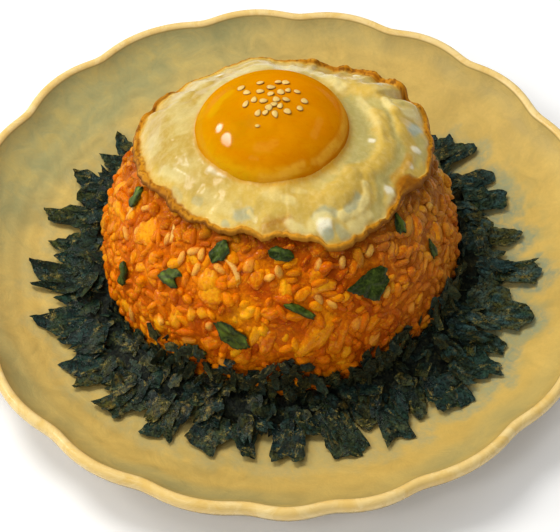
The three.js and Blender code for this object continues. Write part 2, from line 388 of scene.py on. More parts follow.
# ================================================================== plate
def plate_profile():
    """fine half section: radius, height, kind (0 inside, 1 lip, 2 outer wall, 3 foot and base)"""
    sec = [
        (0.0, FLOOR_Z, 0), (20, FLOOR_Z, 0), (40, FLOOR_Z, 0), (54, FLOOR_Z, 0), (FLOOR_R, FLOOR_Z + 0.1, 0), (67, 6.15, 0), (73, 7.0, 0), (79, 8.2, 0),
        (84, 9.6, 0), (88.5, 11.3, 0), (92.5, 13.2, 0), (95.6, 15.0, 0), (98.0, 16.8, 0), (99.8, 18.6, 0), (100.8, 19.9, 0.0), (101.15, 20.5, 0.6),
        (101.65, 21.05, 1.0), (102.5, 21.4, 1.0), (103.4, 21.2, 1.0), (104.1, 20.4, 1.0), (104.4, 19.3, 1.0), (104.25, 18.2, 1.2),
        (103.8, 17.0, 2.0), (102.9, 15.2, 2), (101.0, 12.9, 2), (97.5, 10.3, 2), (92, 8.0, 2), (86, 6.0, 2), (78, 4.4, 2), (70, 3.3, 2),
        (65, 2.7, 2), (FOOT_OUT + 1.0, 2.1, 2.3), (FOOT_OUT + 0.25, 1.2, 3), (FOOT_OUT - 0.1, 0.35, 3), (FOOT_OUT - 0.7, 0.0, 3),
        (FOOT_IN + 0.7, 0.0, 3), (FOOT_IN + 0.1, 0.3, 3), (FOOT_IN - 0.4, 1.0, 3), (FOOT_IN - 1.2, BASE_Z - 0.05, 2.7), (FOOT_IN - 3, BASE_Z, 2.2), (30, BASE_Z, 2.2), (0, BASE_Z, 2.2),
    ]
    p = np.array(sec, float)
    out = []
    for k in range(len(p) - 1):
        p0, p1, p2, p3 = p[max(k - 1, 0)], p[k], p[k + 1], p[min(k + 2, len(p) - 1)]
        gap = np.hypot(*(p2 - p1)[:2])
        rr = 0.5 * (p1[0] + p2[0])
        step = 1.3 if p1[2] < 2 and rr > 62 else 2.4
        n = int(np.clip(round(gap / step), 1, 12))
        for s in np.arange(n) / n:
            # centripetal-like Catmull-Rom on short spans keeps the lip round and the foot crisp
            l0, l1, l2 = [max(np.hypot(*(q - r)[:2]), 1e-6) for q, r in ((p1, p0), (p2, p1), (p3, p2))]
            m1 = (p2 - p0) / (l0 + l1) * l1 if k else (p2 - p1)
            m2 = (p3 - p1) / (l1 + l2) * l1 if k + 2 < len(p) else (p2 - p1)
            h = (2 * s**3 - 3 * s**2 + 1) * p1 + (s**3 - 2 * s**2 + s) * m1 + (-2 * s**3 + 3 * s**2) * p2 + (s**3 - s**2) * m2
            out.append(h)
    out.append(p[-1])
    return np.array(out)


def around(a, at_deg, half_deg):
    """1 at an angle, falling smoothly to 0 half_deg to either side"""
    d = (np.degrees(a) - at_deg + 180) % 360 - 180
    return smooth(half_deg, 0.15 * half_deg, np.abs(d))


def build_plate():
    prof = plate_profile()
    turns = 480
    a = np.arange(turns) / turns * 2 * np.pi
    f = flutes(a)
    # round the sharp meeting of the dents a little, as glazed clay is
    k = np.exp(-(np.arange(-12, 13) / 3.0) ** 2)
    f = np.convolve(np.concatenate([f[-12:], f, f[:12]]), k / k.sum(), "valid")
    rows, grey, warm, painted_shade, lobe_shadow = [], [], [], [], []
    ends = np.concatenate([np.array(k)[:-1] * (1 - t) + np.array(k)[1:] * t for k in LOBES for t in (0.0, 0.25, 0.5, 0.75)])
    body = prof[1:-1]
    c2 = np.stack([np.cos(a), np.sin(a), 0 * a], -1)
    for r, z, kind in body:
        w = smooth(80, 101, r)
        rr = r + PINCH_DEPTH * f * w + 0.35 * smooth(70, 104, r) * np.sin(3 * a + 0.7)
        top = smooth(8.0, 16, z)
        zz = z + PINCH_LIFT * f * w * top
        # thrown by hand: faint turning ridges inside, a slow wobble of the lip
        if kind < 1 and r > 20:
            zz = zz + 0.10 * np.sin(r * 1.15 + 0.8 * np.sin(a * 2 + 0.5)) * smooth(24, 60, r) * (1 - smooth(93, 99, r))
        wob = 0.22 * fbm(np.stack([np.cos(a) * 4, np.sin(a) * 4, 0 * a + r * 0.05], -1), 3, 5) * smooth(85, 100, r) * top
        rows.append(np.stack([rr * np.cos(a), rr * np.sin(a), zz + wob], -1))
        # grey-green where the glaze has pooled, and painted shade in the same grey-green: the wall at the back and
        # left, turned from the light, a soft band in the hollow under the lip in front, a ring just under the lip all
        # round; near the seaweed's ends, painted shadows of the shreds (the near mask)
        n = 0.5 * noise3(c2 * r / 16.0, 151) + 0.3 * noise3(c2 * r / 6.5, 152)
        back = around(a, 138, 66) * smooth(70, 93, r + 4 * n) + 0.35 * around(a, 178, 60) * smooth(80, 97, r) + 0.10 * around(a, 92, 40) * smooth(84, 96, r)
        band = (0.62 * around(a, -108, 34) + 0.48 * around(a, -52, 34) + 0.35 * around(a, -150, 26)) * smooth(90.5, 95, r + 2.5 * n) * smooth(101.5, 97, r)
        edge = 0.22 * smooth(93, 100, r) + 0.12 * around(a, 60, 45) * smooth(93, 98, r)
        gap = np.full(turns, 99.0)
        if 60 < r < 98 and kind < 1:
            gap = np.sqrt((((c2[:, None, :2] * r - np.array([0.9, -0.5])) - ends[None]) ** 2).sum(-1).min(1))
        gap = gap + 1.7 * noise3(c2 * r / 3.4, 155) + 0.9 * noise3(c2 * r / 1.6, 156)
        # painted shadows of the seaweed's torn ends, grey-green on the glaze round each end
        lobe_shadow.append(smooth(5.4, 2.2, gap) * (0.36 + 0.64 * around(a, -6, 74)))
        near = noise3(c2 * r / 4.2, 153) + 0.6 * noise3(c2 * r / 1.9, 154)
        near = (0.6 * around(a, -8, 68) + 0.35 * around(a, -100, 60)) * smooth(64, 69, r) * smooth(93, 82, r + 3 * n) * smooth(-0.30, 0.35, near)
        grey.append(np.clip(back + band + edge + near + 0.22 * n, 0, 1))
        # painted shade: darker over the front, the back wall and the left
        painted_shade.append(np.clip(0.95 * around(a, -88, 62) + 0.32 * around(a, -35, 40) + 0.40 * around(a, 48, 42) + 0.55 * around(a, -168, 42) * smooth(74, 84, r), 0, 1) * smooth(20, 60, r))
        warm.append(np.clip(0.55 * around(a, -20, 80) * smooth(60, 84, r) + 0.5 * around(a, -75, 60) * smooth(99, 84, r) + 0.5 * n, 0, 1))
    rows = np.array(rows)
    verts = np.concatenate([[[0, 0, FLOOR_Z]], rows.reshape(-1, 3), [[0, 0, BASE_Z]]])
    kind = np.concatenate([[0], np.repeat(body[:, 2], turns), [2.2]])
    grey = np.concatenate([[0.2], np.concatenate(grey), [0.2]])
    warm = np.concatenate([[0.2], np.concatenate(warm), [0.2]])
    painted_shade = np.concatenate([[0.0], np.concatenate(painted_shade), [0.0]])
    lobe_shadow = np.concatenate([[0.0], np.concatenate(lobe_shadow), [0.0]])
    faces = ring_faces(len(body), turns, True, True)

    m = Mat("stoneware_glaze")
    lip = m.attr("kind", "Fac")
    gg = m.attr("grey", "Fac")
    ww = m.attr("warm", "Fac")
    # ochre-cream glaze, clouded with grey-green where it lies thick and with grey-green painted shade, brushed round
    big = m.noise(30, 4, 0.62, 0.8)
    mid = m.noise(9, 4, 0.62, 0.9)
    fine = m.noise(1.1, 3, 0.7)
    cloud = m.math("ADD", m.math("MULTIPLY", big, 0.5), m.math("MULTIPLY", mid, 0.5))
    ochre = m.ramp(cloud, [(0.38, rgb(*PLATE["low"])), (0.50, rgb(*PLATE["mid"])), (0.62, rgb(*PLATE["high"]))])
    ochre = m.mix(m.math("MULTIPLY", ww, 0.55), ochre, rgb(*PLATE["warm"]))
    green = m.ramp(cloud, [(0.38, rgb(*PLATE["grey_low"])), (0.50, rgb(*PLATE["grey_mid"])), (0.62, rgb(*PLATE["grey_high"]))])
    inside = m.mix(gg, ochre, green)
    # painted shade, darker ochre where painted_shade is high
    inside = m.mix(m.math("MULTIPLY", m.attr("painted_shade", "Fac"), 0.27), inside, rgb(150, 118, 56))
    # painted shadows of the seaweed's ends, grey-green
    lobe_shadow_mix = m.math("MULTIPLY", m.attr("lobe_shadow", "Fac"), m.map(m.noise(2.6, 4, 0.65, 0.8), 0.36, 0.62, 0.30, 0.95))
    inside = m.mix(lobe_shadow_mix, inside, m.mix(m.map(mid, 0.4, 0.6, 0.0, 1.0), rgb(158, 164, 126), rgb(140, 152, 126)))
    inside = m.mix(m.map(fine, 0.3, 0.7, 0.0, 0.16), inside, rgb(*PLATE["fleck"]))
    lipcol = m.mix(m.map(mid, 0.35, 0.65, 0.0, 1.0), rgb(*PLATE["lip"]), rgb(*PLATE["lip_pale"]))
    outer = m.mix(m.map(mid, 0.35, 0.65, 0.0, 1.0), rgb(*PLATE["outer"]), rgb(*PLATE["outer_dark"]))
    outer = m.mix(m.map(fine, 0.35, 0.7, 0.0, 0.35), outer, rgb(96, 80, 36))
    clay = m.mix(m.map(fine, 0.3, 0.7, 0.0, 1.0), rgb(176, 146, 100), rgb(150, 120, 78))
    col = m.mix(m.map(lip, 0.25, 0.75, 0, 1), inside, lipcol)
    # painted shade in the groove where the lip meets the wall
    groove_shade = m.math("MULTIPLY", m.map(lip, 0.02, 0.30, 0, 1), m.map(lip, 0.35, 0.70, 1, 0))
    col = m.mix(m.math("MULTIPLY", groove_shade, 0.75), col, rgb(*PLATE["groove_shade"]))
    col = m.mix(m.map(lip, 1.05, 1.6, 0, 1), col, outer)
    col = m.mix(m.map(lip, 2.4, 2.8, 0, 1), col, clay)
    m.color(col)
    r0 = m.mix(m.map(lip, 0.3, 0.8, 0, 1), m.map(mid, 0.3, 0.7, 0.46, 0.60), m.map(mid, 0.3, 0.7, 0.20, 0.34))
    m.rough(m.mix(m.map(lip, 2.4, 2.8, 0, 1), r0, 0.8))
    m.put("Specular IOR Level", 0.45)
    m.bump((mid, 0.30), (fine, 0.05))
    ob = add_mesh("plate_body", verts, faces, m.m, values={"kind": kind, "grey": grey, "warm": warm, "painted_shade": painted_shade, "lobe_shadow": lobe_shadow}, flip=False)
    pieces.append((ob, "plate_glaze", "plate"))


# ================================================================== rice
rng = np.random.default_rng(20)


def on_mound(az_deg, z, out=0.0):
    """a point on the mound's skin at an angle about its axis and a height, and its normal"""
    a = np.radians(np.atleast_1d(az_deg).astype(float))
    z = np.atleast_1d(z).astype(float)
    r = mound_radius(z)
    P = np.stack([MX + r * np.cos(a), MY + r * np.sin(a), z], -1)
    n = mound_normal(P)
    return P + n * out, n


def screen_frame(n, lean_deg, face=0.45):
    """a piece lying on the mound, turned part way up to be seen: its long side leans from the upright"""
    up = np.array([0, 0, 1.0])
    n = unit(n)
    tilt = unit(n + face * np.array([0, -0.3, 0.55]))
    lay = unit(up - (up * tilt).sum(-1, keepdims=True) * tilt)  # uphill
    side = np.cross(lay, tilt)  # to the right, seen from outside
    t = np.radians(lean_deg)
    # on the near side the lean is the one seen from above the front edge
    toward, over = np.array([0, -0.62388, 0.78152]), np.array([0, 0.78152, 0.62388])
    ax, ay, bx, by = lay[:, 0], lay @ over, side[:, 0], side @ over
    gx, gy = np.sin(t), np.cos(t)
    seen = np.arctan2(-(ax * gy - ay * gx), bx * gy - by * gx)
    flip = (ax * np.cos(seen) + bx * np.sin(seen)) * gx + (ay * np.cos(seen) + by * np.sin(seen)) * gy < 0
    seen = seen + np.pi * flip
    t = np.where(tilt @ toward > 0.12, seen, t)
    along = lay * np.cos(t)[:, None] + side * np.sin(t)[:, None]
    return frames(tilt, along)


# measured places on the mound: angle, height, width, length, lean, kind
CHUNKS = [
    (-152.5, 46.2, 8.6, 9.8, 10, "yellow"), (-143.0, 42.8, 4.0, 4.0, 0, "amber"), (-134.4, 52.4, 3.3, 4.5, 10, "orange"), (-117.7, 46.1, 5.7, 9.6, 5, "yellow"),
    (-99.3, 49.4, 5.0, 5.9, 0, "amber"), (-88.0, 47.4, 4.2, 5.3, 10, "yellow"), (-103.4, 51.8, 3.6, 5.0, 20, "peach"), (-139.4, 51.4, 3.6, 5.4, 0, "orange"),
    (-110.9, 52.4, 3.6, 4.2, 10, "amber"), (-115.0, 43.4, 7.5, 6.6, 0, "yellow"), (-125.7, 32.4, 4.6, 7.0, 20, "yellow"), (-120.5, 36.0, 3.6, 4.5, 20, "yellow"),
    (-116.9, 37.7, 3.6, 3.9, -20, "yellow"), (-120.1, 26.7, 3.0, 5.2, 85, "peach"), (-100.9, 41.2, 4.2, 5.1, 80, "yellow"), (-98.2, 35.2, 3.0, 8.1, 22, "yellow"),
    (-94.2, 33.3, 4.8, 8.4, 25, "orange"), (-93.0, 41.7, 4.2, 6.0, 80, "orange"), (-107.3, 23.3, 4.0, 5.2, -45, "peach"), (-111.8, 29.0, 4.8, 6.1, 60, "orange"),
    (-81.5, 46.1, 3.6, 5.6, 60, "amber"), (-77.0, 35.0, 6.6, 17.4, 32, "amber"), (-70.3, 33.1, 4.5, 13.8, 22, "orange"), (-58.6, 32.9, 3.9, 6.4, 30, "amber"),
    (-64.1, 34.7, 3.6, 5.7, 25, "peach"), (-59.1, 26.9, 4.3, 5.8, 50, "peach"), (-68.9, 26.5, 3.3, 4.6, 28, "yellow"), (-69.6, 20.6, 4.0, 4.3, 0, "amber"),
    (-54.6, 18.7, 2.2, 3.7, 0, "amber"), (-39.0, 30.0, 2.2, 4.3, 30, "yellow"), (-43.0, 29.2, 2.8, 4.6, 0, "peach"), (-41.1, 47.7, 2.7, 4.8, 0, "peach"),
    (-24.6, 45.9, 4.6, 7.7, 0, "orange"), (-37.6, 45.2, 3.9, 5.2, 60, "orange"), (-4.5, 37.9, 2.5, 7.9, -8, "orange"), (-23.2, 25.3, 2.8, 6.0, 0, "peach"),
    (-59.6, 49.0, 3.0, 4.5, 10, "orange"), (-31.4, 36.8, 1.8, 4.9, 5, "peach"),
]
# curved strips: angle, height, width, length, lean, bend, kind
ARCS = [
    (-109.3, 50.0, 2.1, 9.2, -28, 1.6, "pale"), (-73.5, 46.6, 3.3, 9.5, 78, -1.3, "yellow"), (-141.4, 50.7, 1.8, 6.0, 15, 0.6, "pale"),
    (-73.4, 49.9, 2.1, 7.1, 60, 1.3, "orange"), (-166.0, 43.8, 1.6, 5.6, 35, 0.6, "pale"),
]
# pale grains that show best: angle, height, width, length, lean
PALE = [
    (-141.0, 49.4, 2.1, 3.3, 20), (-128.7, 50.9, 2.7, 4.2, 80), (-123.8, 50.8, 2.4, 2.7, 0), (-132.1, 47.9, 2.7, 4.2, 20), (-123.8, 47.3, 2.4, 4.8, 28),
    (-114.6, 49.4, 2.1, 4.2, 0), (-94.3, 49.8, 2.1, 3.6, 0), (-89.7, 50.8, 2.4, 5.0, -15), (-160.6, 39.7, 2.2, 5.0, 0), (-160.1, 48.9, 2.1, 4.0, 60),
    (-131.7, 28.0, 3.1, 4.3, -20), (-144.0, 20.3, 2.5, 5.6, 0), (-113.3, 34.1, 2.1, 3.9, 10), (-50.5, 50.4, 2.4, 2.7, 30), (-73.0, 51.2, 2.4, 2.7, 0),
    (-63.5, 50.1, 1.8, 2.1, 0), (-11.2, 44.5, 2.5, 2.8, -40), (-50.7, 39.6, 2.4, 4.2, 20), (-155.5, 43.5, 2.5, 3.7, 0), (-71.6, 42.1, 1.8, 2.4, 0),
]
# cut spring onion and leaf: angle, height, width, length, lean, shape
GREENS = [
    (-169.3, 47.1, 5.1, 7.8, 27, "bean"), (-152.1, 31.0, 4.8, 8.4, 3, "bean"), (-132.4, 42.5, 6.5, 9.2, 113, "heart"), (-117.1, 52.7, 5.8, 8.1, 36, "leaf"),
    (-89.7, 54.4, 4.8, 8.2, -79, "oval"), (-105.5, 33.9, 7.6, 12.6, 129, "leaf"), (-83.1, 42.3, 3.6, 10.0, -65, "stem"), (-54.5, 44.2, 14.1, 10.9, 0, "tri"),
    (-31.0, 50.4, 4.4, 7.3, -18, "wedge"), (-24.7, 38.5, 3.8, 7.0, -21, "wedge"), (-117.4, 24.3, 4.7, 8.2, -75, "leaf"),
]


def fill_round(near, count, lo_z, hi_z, gap_deg, seed):
    """more of a kind round the side and back of the mound, clear of those already there"""
    r = np.random.default_rng(seed)
    have = [(q[0] % 360, q[1]) for q in near]
    out = []
    for _ in range(4000):
        az, z = r.uniform(12, 192), r.uniform(lo_z, hi_z)
        if all(math.hypot(min(abs(az - b), 360 - abs(az - b)), (z - c) * 1.0) > gap_deg for b, c in have):
            have.append((az, z))
            out.append((az, z))
        if len(out) == count:
            break
    return out


for az, z in fill_round(CHUNKS, 44, 16, 52, 10, 3):
    k = rng.choice(["amber", "yellow", "orange", "peach"], p=[0.3, 0.25, 0.3, 0.15])
    w = rng.uniform(2.8, 6.2)
    CHUNKS.append((az, z, w, w * rng.uniform(1.1, 2.0), rng.uniform(-80, 80), k))
more = []
r5 = np.random.default_rng(44)
for _ in range(6000):
    az, z = r5.uniform(-180, 180), r5.uniform(11, 55)
    if len(more) < 190 and all(math.hypot(min(abs(az - q[0]) % 360, 360 - abs(az - q[0]) % 360) * 0.9, z - q[1]) > 2.6 + 0.5 * max(q[2], q[3]) for q in CHUNKS + more) and all(math.hypot(min(abs(az - q[0]) % 360, 360 - abs(az - q[0]) % 360), z - q[1]) > 3.5 + 0.5 * q[2] for q in GREENS):
        w = 2.6 + 2.2 * r5.random() ** 1.6
        more.append((az, z, w, w * r5.uniform(1.15, 1.9), r5.uniform(-85, 85), str(r5.choice(["amber", "yellow", "orange"], p=[0.35, 0.2, 0.45]))))


def clear_of_greens(az, z, w, l, *rest):
    P = on_mound(az, z)[0][0]
    return all(np.linalg.norm(P - on_mound(g[0], g[1])[0][0]) > 0.42 * l + 0.24 * (g[2] + g[3]) + 0.4 for g in GREENS)


CHUNKS += [q for q in more if clear_of_greens(*q)]
for az, z in fill_round(GREENS, 13, 18, 52, 19, 5):
    w = rng.uniform(3.2, 8.0)
    GREENS.append((az, z, w, w * rng.uniform(1.1, 1.7) + 1.5, rng.uniform(-80, 80), str(rng.choice(["leaf", "oval", "heart", "stem", "wedge", "bean"]))))

GREENS = GREENS[:11] + [g for g in GREENS[11:] if not 160 < g[0] < 200]

TINTS = {
    "amber": (rgb(234, 138, 0), rgb(198, 84, 0)),
    "yellow": (rgb(250, 176, 18), rgb(222, 112, 0)),
    "orange": (rgb(222, 110, 0), rgb(176, 62, 0)),
    "peach": (rgb(236, 160, 58), rgb(202, 96, 4)),
    "pale": (rgb(250, 206, 116), rgb(226, 148, 40)),
}


RICE_TONES = [(0.0, (172, 64, 0)), (0.28, (204, 92, 0)), (0.55, (230, 122, 0)), (0.80, (242, 150, 0)), (1.0, (248, 176, 20))]


def rice_shade(P, jitter=0.0):
    """colour of the fried rice at a place: orange, in soft drifts of darker sauce and paler grain, with painted shade
    low down, round the right side and near the foot, and the egg's painted shadow under its edge
    """
    t = np.clip(0.50 + 0.50 * fbm(P / 8.0, 2, 9) + 0.26 * noise3(P / 3.4, 12) + jitter, 0, 1)
    stops = [q for q, c in RICE_TONES]
    lin = np.array([rgb(*c) for q, c in RICE_TONES])
    col = np.stack([np.interp(t, stops, lin[:, k]) for k in range(3)], -1)
    a = np.arctan2(P[:, 1] - MY, P[:, 0] - MX)
    r = np.hypot(P[:, 0] - MX, P[:, 1] - MY)
    # painted shade: darker low down in front, where the mound's wall turns down from the light
    m = (smooth(34, 16, P[:, 2]) * around(a, -85, 75) * 0.30)[:, None]
    col = col * (1 - m) + rgb(168, 84, 0) * m
    # painted shadow: the egg's shadow, a dark brown band just under its edge
    m = (smooth(5.2, 0.6, r - table(a, EDGE) + 0.8 * noise3(P / 2.5, 34)) * 0.72)[:, None]
    col = col * (1 - m) + rgb(118, 48, 6) * m
    # darker round the front right
    m = (around(a, -62, 30) * 0.20)[:, None]
    col = col * (1 - m) + rgb(164, 62, 0) * m
    # painted shade round the right side, turned from the light: darker brown high up, browner all down that side
    m = (around(a, -12, 48) * smooth(32, 46, P[:, 2]) * 0.58)[:, None]
    col = col * (1 - m) + rgb(128, 58, 12) * m
    m = (around(a, -8, 62) * 0.56)[:, None]
    col = col * (1 - m) + rgb(194, 134, 54) * m
    m = (smooth(0.12, 0.62, fbm(P / 5.0, 2, 33)) * 0.58)[:, None]
    col = col * (1 - m) + rgb(156, 54, 0) * m
    m = (around(a, -160, 62) * 0.34)[:, None]
    col = col * (1 - m) + rgb(224, 120, 2) * m
    # painted shade: darker near the foot
    m = (smooth(19, 9, P[:, 2]) * 0.45)[:, None]
    return col * (1 - m) + rgb(146, 68, 6) * m, t


def build_rice():
    # ---- fixed bodies that the grains pack round: spheres along each chunk
    C, A, RAD, HL, fixed = [], [], [], [], []
    for az, z, w, l, lean, kind in CHUNKS:
        P, n = on_mound(az, z, -0.28 * min(w, l))
        R = screen_frame(n, np.array([lean]))[0]
        r = 0.52 * w
        C.append(P[0]); A.append(R[:, 0]); RAD.append(r); HL.append(max(0.0, l / 2 - r)); fixed.append(True)
    for az, z, w, l, lean, bend, kind in ARCS:
        P, n = on_mound(az, z, -0.4)
        R = screen_frame(n, np.array([lean]))[0]
        C.append(P[0]); A.append(R[:, 0]); RAD.append(0.5 * w); HL.append(max(0.0, l / 2 - 0.5 * w)); fixed.append(True)
    for az, z, w, l, lean, shape in GREENS:
        P, n = on_mound(az, z, -1.0)
        R = screen_frame(n, np.array([lean]))[0]
        C.append(P[0]); A.append(R[:, 0]); RAD.append(0.30 * min(w, l)); HL.append(max(0.0, 0.3 * l)); fixed.append(True)
    nfix = len(C)
    # ---- measured pale grains
    pale_from = len(C)
    for az, z, w, l, lean in PALE:
        P, n = on_mound(az, z, -0.5)
        R = screen_frame(n, np.array([lean]), 0.2)[0]
        l = max(l * 1.15, 4.6)
        C.append(P[0]); A.append(R[:, 0]); RAD.append(1.30); HL.append(l / 2 - 1.25); fixed.append(False)
    npale = len(PALE)

    # ---- random grains in three beds
    zz = np.linspace(6.5, 62, 400)
    rr = mound_radius(zz)
    ds = np.hypot(np.gradient(zz), np.gradient(rr))
    cdf = np.cumsum(ds * rr)
    cdf /= cdf[-1]
    beds = []
    for depth, gap, tries in ((-1.32, 2.54, 26000),):
        got = np.zeros((0, 3))
        keep = []
        u, v = rng.random(tries), rng.random(tries) * 360
        z = np.interp(u, cdf, zz)
        P, n = on_mound(v, z, depth)
        # only what shows: under the egg the mound stays bare but for a margin
        a = np.arctan2(P[:, 1] - MY, P[:, 0] - MX)
        r = np.hypot(P[:, 0] - MX, P[:, 1] - MY)
        show = r > egg_radius(a) - 9
        P, n = P[show], n[show]
        cell = {}
        for k in range(len(P)):
            key = tuple(np.floor(P[k] / gap).astype(int))
            ok = True
            for dx in (-1, 0, 1):
                for dy in (-1, 0, 1):
                    for dz in (-1, 0, 1):
                        for q in cell.get((key[0] + dx, key[1] + dy, key[2] + dz), ()):
                            if (P[k] - P[q]) @ (P[k] - P[q]) < gap * gap:
                                ok = False
                                break
            if ok:
                cell.setdefault(key, []).append(k)
                keep.append(k)
        beds.append((P[keep], n[keep], depth))
    for P, n, depth in beds:
        m = len(P)
        t = rng.uniform(0, 2 * np.pi, m)
        lay = unit(np.cross(n, [0.3, 0.2, 0.93]))
        lay2 = np.cross(n, lay)
        tilt = rng.normal(0, 0.30 if depth > -4 else 0.15, m)
        ax = unit((lay * np.cos(t)[:, None] + lay2 * np.sin(t)[:, None]) * np.cos(tilt)[:, None] + n * np.sin(tilt)[:, None])
        for k in range(m):
            rad = np.clip(1.33 * math.exp(rng.normal(0, 0.19)), 0.9, 2.0)
            C.append(P[k] + n[k] * rng.normal(0, 0.34)); A.append(ax[k]); RAD.append(rad); HL.append(rng.uniform(0.7, 2.2)); fixed.append(False)
    C, A, RAD, HL, fixed = map(np.array, (C, A, RAD, HL, fixed))
    depth0 = mound_depth(C)

    # ---- push overlapping grains apart, keep them in their bed
    K = np.array([-1.0, 0.0, 1.0])
    for it in range(34):
        if it % 6 == 0:
            order = np.argsort(C[:, 0])
            xs = C[order, 0]
            I, J = [], []
            hi = np.searchsorted(xs, xs + 9.0)
            for p in range(len(xs)):
                q = order[p + 1 : hi[p]]
                if len(q):
                    d = C[q] - C[order[p]]
                    reach = HL[q] + HL[order[p]] + RAD[q] + RAD[order[p]] + 0.8
                    near = q[(d * d).sum(1) < reach * reach]
                    I.append(np.full(len(near), order[p])); J.append(near)
            I, J = np.concatenate(I), np.concatenate(J)
        S = C[:, None] + K[None, :, None] * (A * HL[:, None])[:, None]
        D = S[I][:, :, None] - S[J][:, None]  # pairs, 3, 3, xyz
        dist = np.sqrt((D * D).sum(-1)) + 1e-9
        over = np.maximum(0, (RAD[I] + RAD[J])[:, None, None] * 0.68 - dist)
        push = D / dist[..., None] * over[..., None]
        wi = np.where(fixed[I], 0, np.where(fixed[J], 1.0, 0.5))[:, None, None, None]
        wj = np.where(fixed[J], 0, np.where(fixed[I], 1.0, 0.5))[:, None, None, None]
        G = np.zeros_like(S)
        np.add.at(G, I, (push * wi).sum(2))
        np.add.at(G, J, -(push * wj).sum(1))
        step = 0.42
        C = C + step * G.mean(1)
        arm = (G[:, 2] - G[:, 0]) * step
        A = unit(A + arm / (2 * HL[:, None] + 1.0))
        d = mound_depth(C)
        n = mound_normal(C)
        lift = np.clip(depth0 - d, -0.5, 0.5) * 0.30
        over_skin = np.maximum(0, d + 0.55)  # nothing stands far outside
        C = np.where(fixed[:, None], C, C + n * (lift - 0.6 * over_skin)[:, None])
        # grains proud of the skin lie down
        out = np.abs((A * n).sum(1)) * HL + d
        A = np.where((out > 0.9)[:, None], unit(A - 0.25 * (A * n).sum(1)[:, None] * n), A)
    d = mound_depth(C)
    a = np.arctan2(C[:, 1] - MY, C[:, 0] - MX)
    r = np.hypot(C[:, 0] - MX, C[:, 1] - MY)
    n = mound_normal(C)

    # ---- grain shapes: plump, a little bent, blunt at one end
    seg, ring = 8, 6
    NV = seg * ring + 2
    variants = []
    for v in range(10):
        q = np.random.default_rng(100 + v)
        t = -np.cos((np.arange(ring) + 1) / (ring + 1) * np.pi)
        th = np.arange(seg) / seg * 2 * np.pi
        T, TH = np.meshgrid(t, th, indexing="ij")
        rad = np.power(np.clip(1 - np.abs(T) ** 2.4, 0, 1), 0.5) * (1 - q.uniform(-0.16, 0.18) * T)
        rad = rad * (1 + 0.08 * np.cos(2 * TH + q.uniform(0, 6)) + 0.06 * np.sin(3 * TH + 4 * T + q.uniform(0, 6)) + 0.05 * np.sin(TH + 6 * T + q.uniform(0, 6)))
        y, z = rad * np.cos(TH), rad * np.sin(TH) * q.uniform(0.84, 0.98)
        bend = q.uniform(-0.30, 0.30)
        x = T
        y = y + bend * (1 - T * T)
        body = np.stack([x, y, z], -1).reshape(-1, 3)
        variants.append(np.concatenate([[[-1.0, 0, 0]], body, [[1.0, 0, 0]]]))
    variants = np.array(variants)
    gf = ring_faces(ring, seg, True, True)

    live = np.where(~fixed)[0]
    # grains buried by the egg or by the plate's floor are left out
    bury = (r[live] < egg_radius(a[live]) - 6.5) | (C[live, 2] < 6.2)
    for az, z, w, l, lean, shape in GREENS:  # a leaf lies on the rice, no grain stands through it
        P, g = on_mound(az, z, 0.45)
        R = screen_frame(g, np.array([lean]), 0.25)[0]
        for k in (-1, 0, 1):
            rel = (C[live] + k * A[live] * HL[live][:, None] - P[0]) @ R
            bury |= ((rel[:, 0] / (0.5 * l + 0.2)) ** 2 + (rel[:, 1] / (0.5 * w + 0.2)) ** 2 < 0.72) & (rel[:, 2] > -1.25)
    live = live[~bury]
    cnt = len(live)
    which = rng.integers(0, len(variants), cnt)
    R = frames(n[live] + rng.normal(0, 0.5, (cnt, 3)), A[live])
    roll = rng.uniform(0, 2 * np.pi, cnt)
    c, s = np.cos(roll), np.sin(roll)
    Y = R[:, :, 1] * c[:, None] + R[:, :, 2] * s[:, None]
    Z = -R[:, :, 1] * s[:, None] + R[:, :, 2] * c[:, None]
    size = np.stack([HL[live] + RAD[live] * 1.02, RAD[live] * 1.06, RAD[live] * 1.02], -1)
    M = np.stack([R[:, :, 0] * size[:, :1], Y * size[:, 1:2], Z * size[:, 2:3]], -1)
    V = np.einsum("nij,nvj->nvi", M, variants[which]) + C[live][:, None]

    # ---- colours: soaked orange, warm amber, a few pale
    base, tone = rice_shade(C[live], rng.normal(0.03, 0.15, cnt))
    kind = np.where(tone < 0.52, 0, 1)
    is_pale = ((live >= pale_from) & (live < pale_from + npale)) | (rng.random(cnt) < 0.008)
    kind = np.where(is_pale, 2, kind)
    base = np.where(is_pale[:, None], rgb(250, 206, 96) * 0.52 + base * 0.48, base)
    # pale where a grain bulges out, the colour of the sauce round it where it meets the others
    tx = np.abs(variants[which][:, :, 0])
    blend = smooth(0.5, 1.05, tx) * 0.40
    facing = np.einsum("nvi,ni->nv", V - C[live][:, None], n[live])
    blend = np.clip(blend + smooth(1.15, 0.25, facing) * 0.95 + 0.30 * fbm(V.reshape(-1, 3) / 1.2, 2, 31).reshape(cnt, -1), 0, 1)
    skin = rice_shade(V.reshape(-1, 3), -0.06)[0].reshape(V.shape) * np.array([0.96, 0.89, 0.66])
    col = base[:, None] * (1 - blend[..., None]) + skin * blend[..., None]

    m = Mat("fried_rice_grain")
    t = m.attr("tint")
    fine = m.noise(0.9, 4, 0.65, 0.5)
    c = m.mix(m.map(fine, 0.48, 0.68, 0.0, 0.50), t, rgb(176, 62, 0))
    m.color(m.mix(m.map(m.noise(0.7, 4, 0.68, 0.5), 0.54, 0.70, 0.0, 0.55), c, rgb(255, 188, 14)))
    m.rough(m.map(m.noise(2.2, 2, 0.5), 0.35, 0.65, 0.32, 0.50))
    m.put("Specular IOR Level", 0.10)
    m.put("Coat Weight", 0.13)
    m.put("Coat Roughness", 0.09)
    m.sss(0.22, (1.3, 0.5, 0.05), 1.0)
    m.bump((fine, 0.16))
